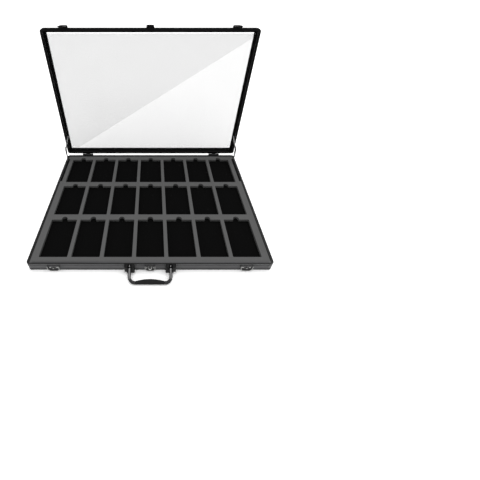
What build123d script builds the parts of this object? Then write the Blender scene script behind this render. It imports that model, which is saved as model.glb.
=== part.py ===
from build123d import *
from math import atan2, cos, degrees, hypot, radians, sin
import os

# Display case for graded card slabs, in millimetres.
# +Z is up, +X is to the right and the front with the handle looks along -Y.
# The lid is drawn closed, then every lid piece is turned to its open rest.
# Pieces are drawn about the middle of the base frame, and the finished case is then
# moved along Y, so that the origin is below the middle of the open case.

# Slab pockets in the foam
POCKET_W = 85.0
POCKET_L = 138.5
POCKET_DEPTH = 10.0
COLUMNS = 7
ROWS = 3
RIB_W = 12.0
BAR_W = 22.5
SIDE_BORDER = 22.0
FRONT_BORDER = 15.0
BACK_BORDER = 22.0
NOTCH_W = 19.0
NOTCH_L = 12.5
FOAM_BELOW_RIM = 1.5
SOFT_GAP = 0.3

# Aluminium frame
RAIL_W = 8.0
BASE_H = 34.0
LID_H = 22.5
RIM_GAP = 0.5
CORNER_R = 9.0
CORNER_LEN = 15.0
OUTER_WALL = 2.5
INNER_WALL = 1.5
CHAMBER_TO_EDGE = 4.0
GROOVE_D = 1.0
GROOVE_W = 3.0
BASE_GROOVE_LOW = 5.0
BASE_GROOVE_HIGH = 25.0
LID_GROOVE = 2.5
RIM_CHAMFER = 0.6
KEY_L = 11.0
KEY_GAP = 0.1
LIP_W = 6.0
LIP_T = 1.5
PANEL_FIT = 0.2

# Bottom panel and clear lid panel
BOTTOM_T = 3.0
WINDOW_T = 3.0
FLANGE_W = 15.0
FLANGE_T = 5.0
WINDOW_LEDGE = 3.0
WINDOW_LEDGE_T = 2.4
WINDOW_POCKET = 1.2
EDGE_ROUND = 4.0

# Hinges on the back
HINGE_INSET = 86.5
HINGE_W = 45.0
BARREL_R = 3.0
LEAF_T = 1.6
BARREL_GAP = 0.4
STRAP_T = 2.0
LEAF_DROP = 2.0
LEAF_L = 19.0
KNUCKLE_MID = 16.0
KNUCKLE_GAP = 0.25
HINGE_PIN_R = 1.6
PIN_FIT = 0.05
HINGE_RIVET_PITCH = 15.0
LID_OPEN = 90.0

# Rivets
RIVET_R = 1.5
RIVET_HEAD_R = 2.4
RIVET_HEAD_H = 1.2
RIVET_EDGE = 0.4
RIVET_FIT = 0.05
RIVET_BITE = 2.3

# Folding stays beside the foam
STAY_LID_REACH = 88.0
STAY_LID_RISE = 6.3
STAY_BACK = 46.0
STAY_DROP = 23.0
LINK_R = 5.0
LINK_T = 1.5
LINK_SIDE = 0.8
LINK_SPACE = 0.75
STAY_PIN_R = 1.8
STAY_HEAD_R = 3.2
STAY_HEAD_T = 1.0
SLEEVE_L = 24.0
SLEEVE_WALL = 0.55
SLIT_W = 7.0
SLIT_PAST_ELBOW = 30.0
SLIT_BACK_ROOM = 5.0

# Latches
LATCH_INSET = 78.5
LATCH_REST = 10.0
LATCH_PIN_RISE = 5.5
LATCH_PIN_OUT = 5.0
LATCH_PIN_R = 1.3
LATCH_BARREL_R = 3.0
BLOCK_OUT = 8.5
BLOCK_BACK = 1.6
BLOCK_RISE = 1.0
BLOCK_H = 15.0
SIDE_BLOCK_W = 30.0
SIDE_BLOCK_R = 11.0
LEVER_T = 2.0
LEVER_W = 25.0
LEVER_L = 33.0
LEVER_SIDE_GAP = 0.4
LEVER_PANEL_W = 15.0
LEVER_PANEL_H = 15.0
LEVER_PANEL_D = 0.5
LIP_BAR_R = 1.2
LIP_BAR_L = 12.0
SOCKET_R = 4.6
SOCKET_BORE_R = 2.8
SOCKET_L = 2.4
STUD_DROP = 24.0
STUD_R = 2.2
STUD_OUT = 5.2
CATCH_DROP = 8.0
CATCH_H = 23.0
CATCH_T = 1.2
CATCH_RIM_T = 2.2
CATCH_RIM_OUT = 5.5
CATCH_R = 13.0
CATCH_W = 36.0
CATCH_RIVET_X = 10.5

# Hasp and staple in the middle of the front
HASP_BLOCK_W = 26.0
HASP_BLOCK_R = 1.5
HASP_W = 22.0
HASP_L = 31.0
HASP_REST = 20.0
HASP_SLOT_DROP = 19.0
HASP_SLOT_W = 11.4
HASP_SLOT_H = 6.0
STAPLE_W = 10.0
STAPLE_WIRE_R = 1.2
STAPLE_OUT = 12.0
STAPLE_BITE = 1.0
STAPLE_PLATE_W = 31.0
STAPLE_RIVET_X = 10.5
STAPLE_RIVET_DROP = 26.0

# Handle
HANDLE_REACH = 37.0
GRIP_TO_BEND = 1.5
HANDLE_REST = 15.0
HANDLE_PIVOT_Z = 16.0
HANDLE_PIVOT_OUT = 7.0
HANDLE_PIN_R = 2.0
BAIL_W = 9.0
BAIL_T = 7.5
CORE_W = 5.0
CORE_T = 4.0
BAIL_EDGE = 1.6
BAIL_BEND_R = 17.0
BAIL_GROOVE_W = 3.0
BAIL_GROOVE_D = 0.9
HUB_R = 5.0
BRACKET_W = 30.0
BRACKET_LOW = 4.0
BRACKET_H = 29.0
BRACKET_OUT = 12.0
BRACKET_R = 7.0
BRACKET_EDGE = 1.5
BRACKET_GAP = 0.5
BRACKET_FLOOR = 6.5
BRACKET_RIVET_RISE = 4.6
GRIP_L = 84.0
GRIP_T = 10.0
GRIP_SWELL = 5.5
GRIP_EDGE = 3.0

# Worked out from the sizes above
FOAM_W = COLUMNS * POCKET_W + (COLUMNS - 1) * RIB_W + 2 * SIDE_BORDER
FOAM_D = ROWS * POCKET_L + (ROWS - 1) * BAR_W + FRONT_BORDER + BACK_BORDER
CASE_W = FOAM_W + 2 * RAIL_W
CASE_D = FOAM_D + 2 * RAIL_W
FRONT_Y = -CASE_D / 2
BACK_Y = CASE_D / 2
INNER_X = FOAM_W / 2
LID_Z = BASE_H + RIM_GAP
LID_TOP = LID_Z + LID_H
HINGE_Y = BACK_Y + LEAF_T + BARREL_GAP + BARREL_R
HINGE_Z = BASE_H + RIM_GAP / 2
HINGE_X = CASE_W / 2 - HINGE_INSET
LATCH_X = CASE_W / 2 - LATCH_INSET
CATCH_LOW = BASE_H - CATCH_DROP - CATCH_H
HANDLE_SPAN = GRIP_L + 2 * (GRIP_TO_BEND + BAIL_BEND_R)
HINGE_AXIS = Axis((0, HINGE_Y, HINGE_Z), (1, 0, 0))
FOAM_TOP = BASE_H - FOAM_BELOW_RIM
POCKET_FLOOR = FOAM_TOP - POCKET_DEPTH
LATCH_PIN_Y = FRONT_Y - LATCH_PIN_OUT
LATCH_PIN_Z = LID_Z + LATCH_PIN_RISE
LATCH_AXIS = Axis((0, LATCH_PIN_Y, LATCH_PIN_Z), (1, 0, 0))
HANDLE_PIVOT_Y = FRONT_Y - HANDLE_PIVOT_OUT
HANDLE_AXIS = Axis((0, HANDLE_PIVOT_Y, HANDLE_PIVOT_Z), (1, 0, 0))
SIDES = {"left": -1, "right": 1}
ENDS = {"front": -1, "back": 1}


def stay_points():
    """Pivot places of a stay at rest, as (y, z): base pivot, elbow and lid pivot.

    The stay and the lid make a parallelogram, so its lower link always lies
    parallel to the line from the hinge pin to the lid pivot.
    """
    turn = radians(LID_OPEN)
    along = -STAY_LID_REACH
    rise = STAY_LID_RISE
    lid_y = along * cos(turn) + rise * sin(turn)
    lid_z = -along * sin(turn) + rise * cos(turn)
    base = (HINGE_Y - STAY_BACK, HINGE_Z - STAY_DROP)
    elbow = (base[0] + lid_y, base[1] + lid_z)
    lid = (HINGE_Y + lid_y, HINGE_Z + lid_z)
    return base, elbow, lid


def middle_of_open_case():
    """Y of the middle of the open case, between the lid's back and the front of the grip."""
    back = HINGE_Y + LID_TOP - HINGE_Z
    turn = radians(HANDLE_REST)
    along = HANDLE_REACH + BAIL_W / 2 - GRIP_EDGE
    across = GRIP_T / 2 - GRIP_EDGE
    front = HANDLE_PIVOT_Y - along * cos(turn) - across * sin(turn) - GRIP_EDGE
    return (front + back) / 2


def block(x0, x1, y0, y1, z0, z1):
    """Plain block between two corners."""
    middle = Pos((x0 + x1) / 2, (y0 + y1) / 2, (z0 + z1) / 2)
    return middle * Box(x1 - x0, y1 - y0, z1 - z0)


def bar_x(x0, x1, y, z, radius):
    """Round bar along X."""
    return extrude(Plane.YZ.offset(x0) * Pos(y, z) * Circle(radius), x1 - x0)


def front_plate(outline, out0, out1):
    """Outline in X and Z, made solid from out0 to out1 in front of the case."""
    plane = Plane((0, FRONT_Y - out0, 0), x_dir=(1, 0, 0), z_dir=(0, -1, 0))
    return extrude(plane * outline, out1 - out0)


def group(shapes):
    """Separate solids of one kind as one node."""
    return Compound([solid for shape in shapes for solid in shape.solids()])


def opened(shape):
    """A lid piece, turned from closed to its open rest."""
    return shape.rotate(HINGE_AXIS, -LID_OPEN)


def rivet(x, y, z, facing):
    """Rivet with its head seated at a point; facing is -1 to the front, 1 to the back."""
    seat = Plane((x, y, z), x_dir=(1, 0, 0), z_dir=(0, facing, 0))
    head = extrude(seat * Circle(RIVET_HEAD_R), RIVET_HEAD_H)
    head = chamfer(head.edges().group_by(Axis.Y)[-1 if facing > 0 else 0], RIVET_EDGE)
    return head


def riveted(x, seat_y, wall_y, z, facing):
    """Rivet whose shank goes from its seat through to the wall behind."""
    shank_end = wall_y - facing * RIVET_BITE
    lo, hi = sorted((seat_y, shank_end))
    shank = extrude(Plane.XZ.offset(-lo) * Pos(x, z) * Circle(RIVET_R), -(hi - lo))
    return rivet(x, seat_y, z, facing) + shank


def rivet_hole(x, y0, y1, z):
    """Hole for a rivet's shank, along Y."""
    lo, hi = sorted((y0, y1))
    return extrude(Plane.XZ.offset(-lo) * Pos(x, z) * Circle(RIVET_R + RIVET_FIT), -(hi - lo))


def pocket_places():
    """Centre of each slab pocket, row by row from the front."""
    first_x = -(COLUMNS - 1) * (POCKET_W + RIB_W) / 2
    first_y = FRONT_Y + RAIL_W + FRONT_BORDER + POCKET_L / 2
    for row in range(ROWS):
        for column in range(COLUMNS):
            yield (first_x + column * (POCKET_W + RIB_W), first_y + row * (POCKET_L + BAR_W))


def slit_range():
    """Front and back ends of the slits in which the stays fold."""
    base = stay_points()[0]
    elbow_closed = base[0] - STAY_LID_REACH
    front = elbow_closed - LINK_R - SLIT_PAST_ELBOW
    back = base[0] + STAY_LID_RISE + LINK_R + SLIT_BACK_ROOM
    return front, back


def foam_outline():
    """Outline of the foam with a slit for the stay at each side."""
    outline = Sketch() + Rectangle(FOAM_W - 2 * SOFT_GAP, FOAM_D - 2 * SOFT_GAP)
    front, back = slit_range()
    for side in SIDES.values():
        slit = Rectangle(2 * SLIT_W, back - front)
        outline -= Pos(side * INNER_X, (front + back) / 2) * slit
    return outline


def make_foam_insert():
    """Grey foam, cut through for the slabs, each pocket with a thumb notch."""
    radius = NOTCH_W / 2
    pocket = Rectangle(POCKET_W, POCKET_L)
    neck = Pos(0, POCKET_L / 2 + (NOTCH_L - radius) / 2) * Rectangle(NOTCH_W, NOTCH_L - radius)
    arch = Pos(0, POCKET_L / 2 + NOTCH_L - radius) * Circle(radius)
    cut = pocket + neck + arch
    outline = foam_outline()
    for x, y in pocket_places():
        outline -= Pos(x, y) * cut
    base = POCKET_FLOOR + SOFT_GAP
    return extrude(Plane.XY.offset(base) * outline, FOAM_TOP - base)


def make_pocket_floor():
    """Black foam bed below the pockets."""
    base = LIP_T + BOTTOM_T + SOFT_GAP
    return extrude(Plane.XY.offset(base) * foam_outline(), POCKET_FLOOR - base)


def make_bottom_panel():
    """Board that lies on the lip of the base rails."""
    board = Rectangle(FOAM_W - 2 * PANEL_FIT, FOAM_D - 2 * PANEL_FIT)
    return extrude(Plane.XY.offset(LIP_T) * board, BOTTOM_T)


def frame_ring(bands):
    """Whole frame as stacked bands of (bottom, top, outer inset, width from the outside)."""
    ring = Part()
    for low, high, inset, width in bands:
        outer = RectangleRounded(CASE_W - 2 * inset, CASE_D - 2 * inset, CORNER_R - inset)
        inner = Rectangle(CASE_W - 2 * width, CASE_D - 2 * width)
        ring += extrude(Plane.XY.offset(low) * (outer - inner), high - low)
    return ring


def base_bands():
    """Section of the base rails."""
    low_end = BASE_GROOVE_LOW + GROOVE_W
    high_end = BASE_GROOVE_HIGH + GROOVE_W
    return [
        (0, LIP_T, 0, RAIL_W + LIP_W),
        (LIP_T, BASE_GROOVE_LOW, 0, RAIL_W),
        (BASE_GROOVE_LOW, low_end, GROOVE_D, RAIL_W),
        (low_end, BASE_GROOVE_HIGH, 0, RAIL_W),
        (BASE_GROOVE_HIGH, high_end, GROOVE_D, RAIL_W),
        (high_end, BASE_H, 0, RAIL_W),
    ]


def lid_levels():
    """Heights in the closed lid: ledge bottom, window bottom, flange bottom."""
    flange = LID_TOP - FLANGE_T
    window = flange - WINDOW_T - PANEL_FIT
    return window - WINDOW_LEDGE_T, window, flange


def lid_bands():
    """Section of the lid rails, with the channel that holds the clear panel."""
    ledge, window, flange = lid_levels()
    groove = LID_Z + LID_GROOVE
    return [
        (LID_Z, groove, 0, RAIL_W),
        (groove, groove + GROOVE_W, GROOVE_D, RAIL_W),
        (groove + GROOVE_W, ledge, 0, RAIL_W),
        (ledge, window, 0, RAIL_W + WINDOW_LEDGE),
        (window, flange, 0, RAIL_W - WINDOW_POCKET),
        (flange, LID_TOP, 0, FLANGE_W),
    ]


def base_ring():
    """Base frame before it is parted into rails and corners."""
    ring = frame_ring(base_bands())
    rim = ring.faces().sort_by(Axis.Z)[-1]
    return chamfer(rim.outer_wire().edges(), RIM_CHAMFER)


def lid_ring():
    """Closed lid frame before it is parted into rails and corners."""
    ring = frame_ring(lid_bands())
    top = ring.faces().sort_by(Axis.Z)[-1]
    return fillet(top.outer_wire().edges(), min(EDGE_ROUND, FLANGE_T - 0.5))


def chamber(name, low, high, grow, reach):
    """Hollow inside the rail of one side; reach is its half length."""
    outer = OUTER_WALL - grow
    inner = RAIL_W - INNER_WALL + grow
    low -= grow
    high += grow
    if name in SIDES:
        x0, x1 = sorted((SIDES[name] * (CASE_W / 2 - outer), SIDES[name] * (CASE_W / 2 - inner)))
        return block(x0, x1, -reach, reach, low, high)
    y0, y1 = sorted((ENDS[name] * (CASE_D / 2 - outer), ENDS[name] * (CASE_D / 2 - inner)))
    return block(-reach, reach, y0, y1, low, high)


def rail_region(name, low, high):
    """Space that one rail takes between its two corner pieces."""
    half_x = CASE_W / 2 - CORNER_LEN
    half_y = CASE_D / 2 - CORNER_LEN
    if name in SIDES:
        x0, x1 = sorted((0, SIDES[name] * CASE_W))
        return block(x0, x1, -half_y, half_y, low, high)
    y0, y1 = sorted((0, ENDS[name] * CASE_D))
    return block(-half_x, half_x, y0, y1, low, high)


def make_rails(ring, low, high, chamber_low, chamber_high):
    """Four hollow rails cut from a frame, by side."""
    rails = {}
    for name in (*ENDS, *SIDES):
        rail = ring & rail_region(name, low, high)
        rail -= chamber(name, chamber_low, chamber_high, 0, CASE_W)
        rails[name] = rail
    return rails


def make_corners(ring, low, high, chamber_low, chamber_high):
    """Four cast corner pieces, each with a key that plugs into both rails."""
    corners = {}
    for end, end_sign in ENDS.items():
        for side, side_sign in SIDES.items():
            x0, x1 = sorted((side_sign * CASE_W, side_sign * (CASE_W / 2 - CORNER_LEN)))
            y0, y1 = sorted((end_sign * CASE_D, end_sign * (CASE_D / 2 - CORNER_LEN)))
            corner = ring & block(x0, x1, y0, y1, low, high)
            x2, x3 = sorted((side_sign * (CASE_W / 2 - CORNER_LEN - KEY_L), side_sign * CASE_W / 2))
            y2, y3 = sorted((end_sign * (CASE_D / 2 - CORNER_LEN - KEY_L), end_sign * CASE_D / 2))
            room = block(x2, x3, y2, y3, low, high)
            solid_x = side_sign * (CASE_W / 2 - OUTER_WALL)
            solid_y = end_sign * (CASE_D / 2 - OUTER_WALL)
            xs = sorted((solid_x, x2 if side_sign > 0 else x3))
            ys = sorted((solid_y, y2 if end_sign > 0 else y3))
            limit = block(*xs, *ys, low, high)
            keys = chamber(end, chamber_low, chamber_high, -KEY_GAP, CASE_W)
            keys += chamber(side, chamber_low, chamber_high, -KEY_GAP, CASE_W)
            corners[end + "_" + side] = corner + (keys & room & limit)
    return corners


def hinge_rivets(x_mid):
    """X places of the rivets in one hinge leaf."""
    return [x_mid + step * HINGE_RIVET_PITCH for step in (-1, 0, 1)]


def base_rivet_z():
    """Height of the rivets in a base hinge leaf."""
    return HINGE_Z - BARREL_R - STRAP_T - LEAF_L / 2


def lid_rivet_z():
    """Height of the rivets in a closed lid hinge leaf."""
    return LID_Z + LEAF_DROP + LEAF_L / 2


def make_hinge(side):
    """Base leaf, closed lid leaf and pin of one hinge."""
    x_mid = SIDES[side] * HINGE_X
    x0, x1 = x_mid - HINGE_W / 2, x_mid + HINGE_W / 2
    m0, m1 = x_mid - KNUCKLE_MID / 2, x_mid + KNUCKLE_MID / 2
    strap_low = HINGE_Z - BARREL_R
    strap_high = HINGE_Z + BARREL_R
    base_leaf = block(x0, x1, BACK_Y, BACK_Y + LEAF_T, strap_low - LEAF_L, strap_low + STRAP_T)
    for a, b in ((x0, m0 - KNUCKLE_GAP), (m1 + KNUCKLE_GAP, x1)):
        base_leaf += block(a, b, BACK_Y, HINGE_Y, strap_low, strap_low + STRAP_T)
        base_leaf += bar_x(a, b, HINGE_Y, HINGE_Z, BARREL_R)
    lid_low = LID_Z + LEAF_DROP
    lid_leaf = block(x0, x1, BACK_Y, BACK_Y + LEAF_T, strap_high - STRAP_T, lid_low + LEAF_L)
    lid_leaf += block(m0, m1, BACK_Y, HINGE_Y, strap_high - STRAP_T, strap_high)
    lid_leaf += bar_x(m0, m1, HINGE_Y, HINGE_Z, BARREL_R)
    bore = bar_x(x0 - 1, x1 + 1, HINGE_Y, HINGE_Z, HINGE_PIN_R + PIN_FIT)
    base_leaf -= bore
    lid_leaf -= bore
    for x in hinge_rivets(x_mid):
        base_leaf -= rivet_hole(x, BACK_Y, BACK_Y + LEAF_T, base_rivet_z())
        lid_leaf -= rivet_hole(x, BACK_Y, BACK_Y + LEAF_T, lid_rivet_z())
    pin = bar_x(x0, x1, HINGE_Y, HINGE_Z, HINGE_PIN_R)
    return base_leaf, lid_leaf, pin


def make_link(start, end, side, depth, bore):
    """Flat link with a round eye at each end; depth is its distance from the rail."""
    length = hypot(end[0] - start[0], end[1] - start[1])
    angle = degrees(atan2(end[1] - start[1], end[0] - start[0]))
    middle = Pos((start[0] + end[0]) / 2, (start[1] + end[1]) / 2)
    shape = middle * Rot(0, 0, angle) * SlotCenterToCenter(length, 2 * LINK_R)
    for y, z in (start, end):
        shape -= Pos(y, z) * Circle(bore)
    x = side * (INNER_X - depth)
    return extrude(Plane.YZ.offset(x) * shape, -side * LINK_T)


def stay_pin(point, side, depth0, depth1, radius):
    """Round pin across a stay, between two distances from the rail."""
    x0, x1 = sorted((side * (INNER_X - depth0), side * (INNER_X - depth1)))
    return bar_x(x0, x1, point[0], point[1], radius)


def upper_link_depth():
    """Distance from the rail to the upper link."""
    return LINK_SIDE + LINK_T + LINK_SPACE


def make_stay(side_name):
    """Lower link, upper link, elbow rivet and sleeve of one stay at rest."""
    side = SIDES[side_name]
    base, elbow, lid = stay_points()
    upper = upper_link_depth()
    bore = STAY_PIN_R + PIN_FIT
    lower_link = make_link(base, elbow, side, LINK_SIDE, bore)
    upper_link = make_link(elbow, lid, side, upper, bore)
    rivet_end = upper + LINK_T
    elbow_rivet = stay_pin(elbow, side, LINK_SIDE, rivet_end, STAY_PIN_R)
    elbow_rivet += stay_pin(elbow, side, LINK_SIDE + LINK_T + PIN_FIT, upper, STAY_HEAD_R)
    elbow_rivet += stay_pin(elbow, side, rivet_end, rivet_end + STAY_HEAD_T, STAY_HEAD_R)
    sleeve = make_sleeve(base, elbow, side)
    return lower_link, upper_link, elbow_rivet, sleeve


def make_sleeve(base, elbow, side):
    """Black sleeve that stiffens the lower link below the elbow."""
    length = hypot(elbow[0] - base[0], elbow[1] - base[1])
    angle = degrees(atan2(elbow[1] - base[1], elbow[0] - base[0]))
    centre = length - LINK_R - SLEEVE_L / 2
    flat = Rectangle(SLEEVE_L, 2 * (LINK_R + SLEEVE_WALL))
    slot = Rectangle(SLEEVE_L, 2 * LINK_R)
    place = Pos(base[0], base[1]) * Rot(0, 0, angle) * Pos(centre, 0)
    x0 = side * (INNER_X - LINK_SIDE + SLEEVE_WALL)
    body = extrude(Plane.YZ.offset(x0) * place * flat, -side * (LINK_T + 2 * SLEEVE_WALL))
    x1 = side * (INNER_X - LINK_SIDE)
    return body - extrude(Plane.YZ.offset(x1) * place * slot, -side * LINK_T)


def make_base_stud(side):
    """Stud on the base rail that carries the lower link."""
    base = stay_points()[0]
    end = LINK_SIDE + LINK_T + PIN_FIT
    stud = stay_pin(base, side, 0, LINK_SIDE - PIN_FIT, STAY_HEAD_R)
    stud += stay_pin(base, side, 0, end, STAY_PIN_R)
    return stud + stay_pin(base, side, end, end + STAY_HEAD_T, STAY_HEAD_R)


def make_lid_stud(side):
    """Stud on the lid rail that carries the upper link."""
    lid = stay_points()[2]
    start = upper_link_depth()
    end = start + LINK_T + PIN_FIT
    stud = stay_pin(lid, side, 0, start - PIN_FIT, STAY_HEAD_R)
    stud += stay_pin(lid, side, 0, end, STAY_PIN_R)
    return stud + stay_pin(lid, side, end, end + STAY_HEAD_T, STAY_HEAD_R)


def latch_block(x, width, lever_width, radius):
    """Closed hinge block on the lid's front rail, hollowed for its lever."""
    low = LID_Z + BLOCK_RISE
    outline = Pos(x, low + BLOCK_H / 2) * Rectangle(width, BLOCK_H)
    outline = fillet(outline.vertices().group_by(Axis.Y)[-1], radius)
    body = front_plate(outline, 0, BLOCK_OUT)
    half = lever_width / 2 + LEVER_SIDE_GAP
    recess_top = LATCH_PIN_Z + LATCH_BARREL_R + LEVER_SIDE_GAP
    body -= block(x - half, x + half, FRONT_Y - 2 * BLOCK_OUT, FRONT_Y - BLOCK_BACK, 0, recess_top)
    return body - bar_x(x - width, x + width, LATCH_PIN_Y, LATCH_PIN_Z, LATCH_PIN_R + PIN_FIT)


def lever_blank(x, width, length):
    """Upright lever with its barrel and a half-round foot."""
    half = width / 2
    out = LATCH_PIN_OUT + LATCH_BARREL_R
    shaft = length - half
    outline = Pos(x, LATCH_PIN_Z - shaft / 2) * Rectangle(width, shaft)
    outline += Pos(x, LATCH_PIN_Z - shaft) * Circle(half)
    lever = front_plate(outline, out - LEVER_T, out)
    lever += bar_x(x - half, x + half, LATCH_PIN_Y, LATCH_PIN_Z, LATCH_BARREL_R)
    return lever - bar_x(x - half, x + half, LATCH_PIN_Y, LATCH_PIN_Z, LATCH_PIN_R + PIN_FIT)


def make_latch_lever(x):
    """Latched side lever with a sunk panel, a thumb bar and a socket on its back."""
    out = LATCH_PIN_OUT + LATCH_BARREL_R
    back = out - LEVER_T
    lever = lever_blank(x, LEVER_W, LEVER_L)
    panel_z = LATCH_PIN_Z - LATCH_BARREL_R - LEVER_PANEL_H / 2
    panel = Pos(x, panel_z) * RectangleRounded(LEVER_PANEL_W, LEVER_PANEL_H, LIP_BAR_R)
    lever -= front_plate(panel, out - LEVER_PANEL_D, out + LEVER_T)
    lip_z = LATCH_PIN_Z - LEVER_L + 3 * LIP_BAR_R
    lever += bar_x(x - LIP_BAR_L / 2, x + LIP_BAR_L / 2, FRONT_Y - out, lip_z, LIP_BAR_R)
    ring = Pos(x, LATCH_PIN_Z - STUD_DROP) * (Circle(SOCKET_R) - Circle(SOCKET_BORE_R))
    return lever + front_plate(ring, back - SOCKET_L, back)


def make_hasp():
    """Latched hasp: a half-round plate with a slot for the staple."""
    out = LATCH_PIN_OUT + LATCH_BARREL_R
    slot = Pos(0, LATCH_PIN_Z - HASP_SLOT_DROP) * RectangleRounded(HASP_SLOT_W, HASP_SLOT_H, 1)
    return lever_blank(0, HASP_W, HASP_L) - front_plate(slot, 0, out + LEVER_T)


def make_latch_pin(x, width):
    """Pin through a hinge block and its lever."""
    return bar_x(x - width / 2, x + width / 2, LATCH_PIN_Y, LATCH_PIN_Z, LATCH_PIN_R)


def catch_outline(width, inset):
    """Front view of a catch plate, rounded at its foot, drawn in by an inset."""
    shape = Rectangle(width - 2 * inset, CATCH_H - inset)
    shape = fillet(shape.vertices().group_by(Axis.Y)[0], CATCH_R - inset)
    return Pos(0, CATCH_LOW + inset + (CATCH_H - inset) / 2) * shape


def catch_plate(x, width):
    """Pressed plate with a raised U-shaped rim, open at the top."""
    outer = Pos(x, 0) * catch_outline(width, 0)
    inner = Pos(x, 0) * catch_outline(width, CATCH_RIM_T)
    return front_plate(outer, 0, CATCH_T) + front_plate(outer - inner, CATCH_T, CATCH_RIM_OUT)


def make_catch(x):
    """Catch plate of a side latch with the stud that its socket closes over."""
    stud_z = LATCH_PIN_Z - STUD_DROP
    plate = catch_plate(x, CATCH_W)
    plate += front_plate(Pos(x, stud_z) * Circle(STUD_R), CATCH_T, STUD_OUT)
    for step in (-1, 1):
        plate -= rivet_hole(x + step * CATCH_RIVET_X, FRONT_Y, FRONT_Y - CATCH_T, stud_z)
    return plate


def make_staple_plate():
    """Plate that carries the staple, with holes for its two legs and two rivets."""
    plate = catch_plate(0, STAPLE_PLATE_W)
    for step in (-1, 1):
        plate -= staple_leg(step, STAPLE_WIRE_R + PIN_FIT)
        x = step * STAPLE_RIVET_X
        plate -= rivet_hole(x, FRONT_Y, FRONT_Y - CATCH_T, LATCH_PIN_Z - STAPLE_RIVET_DROP)
    return plate


def staple_leg(step, radius):
    """Straight leg of the staple, from inside the rail to where its bend starts."""
    bend = STAPLE_W / 2 - STAPLE_WIRE_R
    x = step * bend
    start = FRONT_Y + OUTER_WALL + STAPLE_BITE
    length = STAPLE_OUT - STAPLE_WIRE_R - bend + OUTER_WALL + STAPLE_BITE
    plane = Plane((x, start, LATCH_PIN_Z - HASP_SLOT_DROP), x_dir=(1, 0, 0), z_dir=(0, -1, 0))
    return extrude(plane * Circle(radius), length)


def make_staple():
    """Staple of round wire: two legs joined by a half-round bend."""
    bend = STAPLE_W / 2 - STAPLE_WIRE_R
    y = FRONT_Y - (STAPLE_OUT - STAPLE_WIRE_R - bend)
    z = LATCH_PIN_Z - HASP_SLOT_DROP
    start = Plane((bend, y, z), x_dir=(1, 0, 0), z_dir=(0, -1, 0))
    path = ThreePointArc((bend, y, z), (0, y - bend, z), (-bend, y, z))
    staple = sweep(start * Circle(STAPLE_WIRE_R), path=path)
    return staple + staple_leg(-1, STAPLE_WIRE_R) + staple_leg(1, STAPLE_WIRE_R)


def bracket_x(side):
    """Middle of a handle bracket along X."""
    return SIDES[side] * HANDLE_SPAN / 2


def bracket_rivet_places(side):
    """Rivets of a handle bracket as (x, distance of the seat from the face, z)."""
    x = bracket_x(side)
    outer = x + SIDES[side] * (BRACKET_W / 2 - BRACKET_RIVET_RISE)
    slot_z = HANDLE_PIVOT_Z + HUB_R + RIVET_HEAD_R + BRACKET_GAP
    return [(outer, BRACKET_OUT, BRACKET_LOW + BRACKET_RIVET_RISE), (x, bracket_back(), slot_z)]


def bracket_back():
    """Thickness of the wall behind the slot of a handle bracket."""
    return HANDLE_PIVOT_OUT - HUB_R - BRACKET_GAP


def make_bracket(side):
    """Handle bracket with a slot for the bail and a rounded outer edge."""
    x = bracket_x(side)
    half = BRACKET_W / 2
    y_front = FRONT_Y - BRACKET_OUT
    body = block(x - half, x + half, y_front, FRONT_Y, BRACKET_LOW, BRACKET_LOW + BRACKET_H)
    upright = body.edges().filter_by(Axis.Z).group_by(Axis.Y)[0].sort_by(Axis.X)
    outer_edge = upright[-1] if SIDES[side] > 0 else upright[0]
    body = fillet(outer_edge, BRACKET_R / 2)
    face = body.faces().sort_by(Axis.Y)[0]
    body = chamfer(face.outer_wire().edges(), BRACKET_EDGE / 2)
    slot = BAIL_W / 2 + BRACKET_GAP
    floor = BRACKET_LOW + BRACKET_FLOOR
    top = BRACKET_LOW + BRACKET_H + 1
    body -= block(x - slot, x + slot, y_front - 1, FRONT_Y - bracket_back(), floor, top)
    body -= bar_x(x - half, x + half, HANDLE_PIVOT_Y, HANDLE_PIVOT_Z, HANDLE_PIN_R + PIN_FIT)
    for rx, out, z in bracket_rivet_places(side):
        body -= rivet_hole(rx, FRONT_Y, FRONT_Y - out, z)
    return body


def make_handle_pin(side):
    """Pin that carries one end of the bail."""
    x = bracket_x(side)
    half = BRACKET_W / 2
    return bar_x(x - half, x + half, HANDLE_PIVOT_Y, HANDLE_PIVOT_Z, HANDLE_PIN_R)


def handle_turned(shape):
    """A handle piece, turned from straight out to its rest near the table."""
    return shape.rotate(HANDLE_AXIS, HANDLE_REST)


def bail_section(width, thickness):
    """Cross-section of the bail, for a path that starts along -Y."""
    return RectangleRounded(width, thickness, BAIL_EDGE)


def make_bail():
    """Bail of the handle, straight out: two bent arms, a hub on each and a thin core."""
    z = HANDLE_PIVOT_Z
    y_end = HANDLE_PIVOT_Y - HANDLE_REACH
    section = bail_section(BAIL_W, BAIL_T)
    for step in (-1, 1):
        section -= Pos(0, step * BAIL_T / 2) * Rectangle(BAIL_GROOVE_W, 2 * BAIL_GROOVE_D)
    bail = Part()
    for side, sign in SIDES.items():
        x = bracket_x(side)
        corners = [(x, HANDLE_PIVOT_Y, z), (x, y_end, z), (sign * GRIP_L / 2, y_end, z)]
        start = Plane(corners[0], x_dir=(1, 0, 0), z_dir=(0, -1, 0))
        arm = sweep(start * section, path=FilletPolyline(*corners, radius=BAIL_BEND_R))
        arm += bar_x(x - BAIL_W / 2, x + BAIL_W / 2, HANDLE_PIVOT_Y, z, HUB_R)
        arm -= bar_x(x - BAIL_W, x + BAIL_W, HANDLE_PIVOT_Y, z, HANDLE_PIN_R + PIN_FIT)
        bail += arm
    return handle_turned(bail + grip_core(0))


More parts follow.
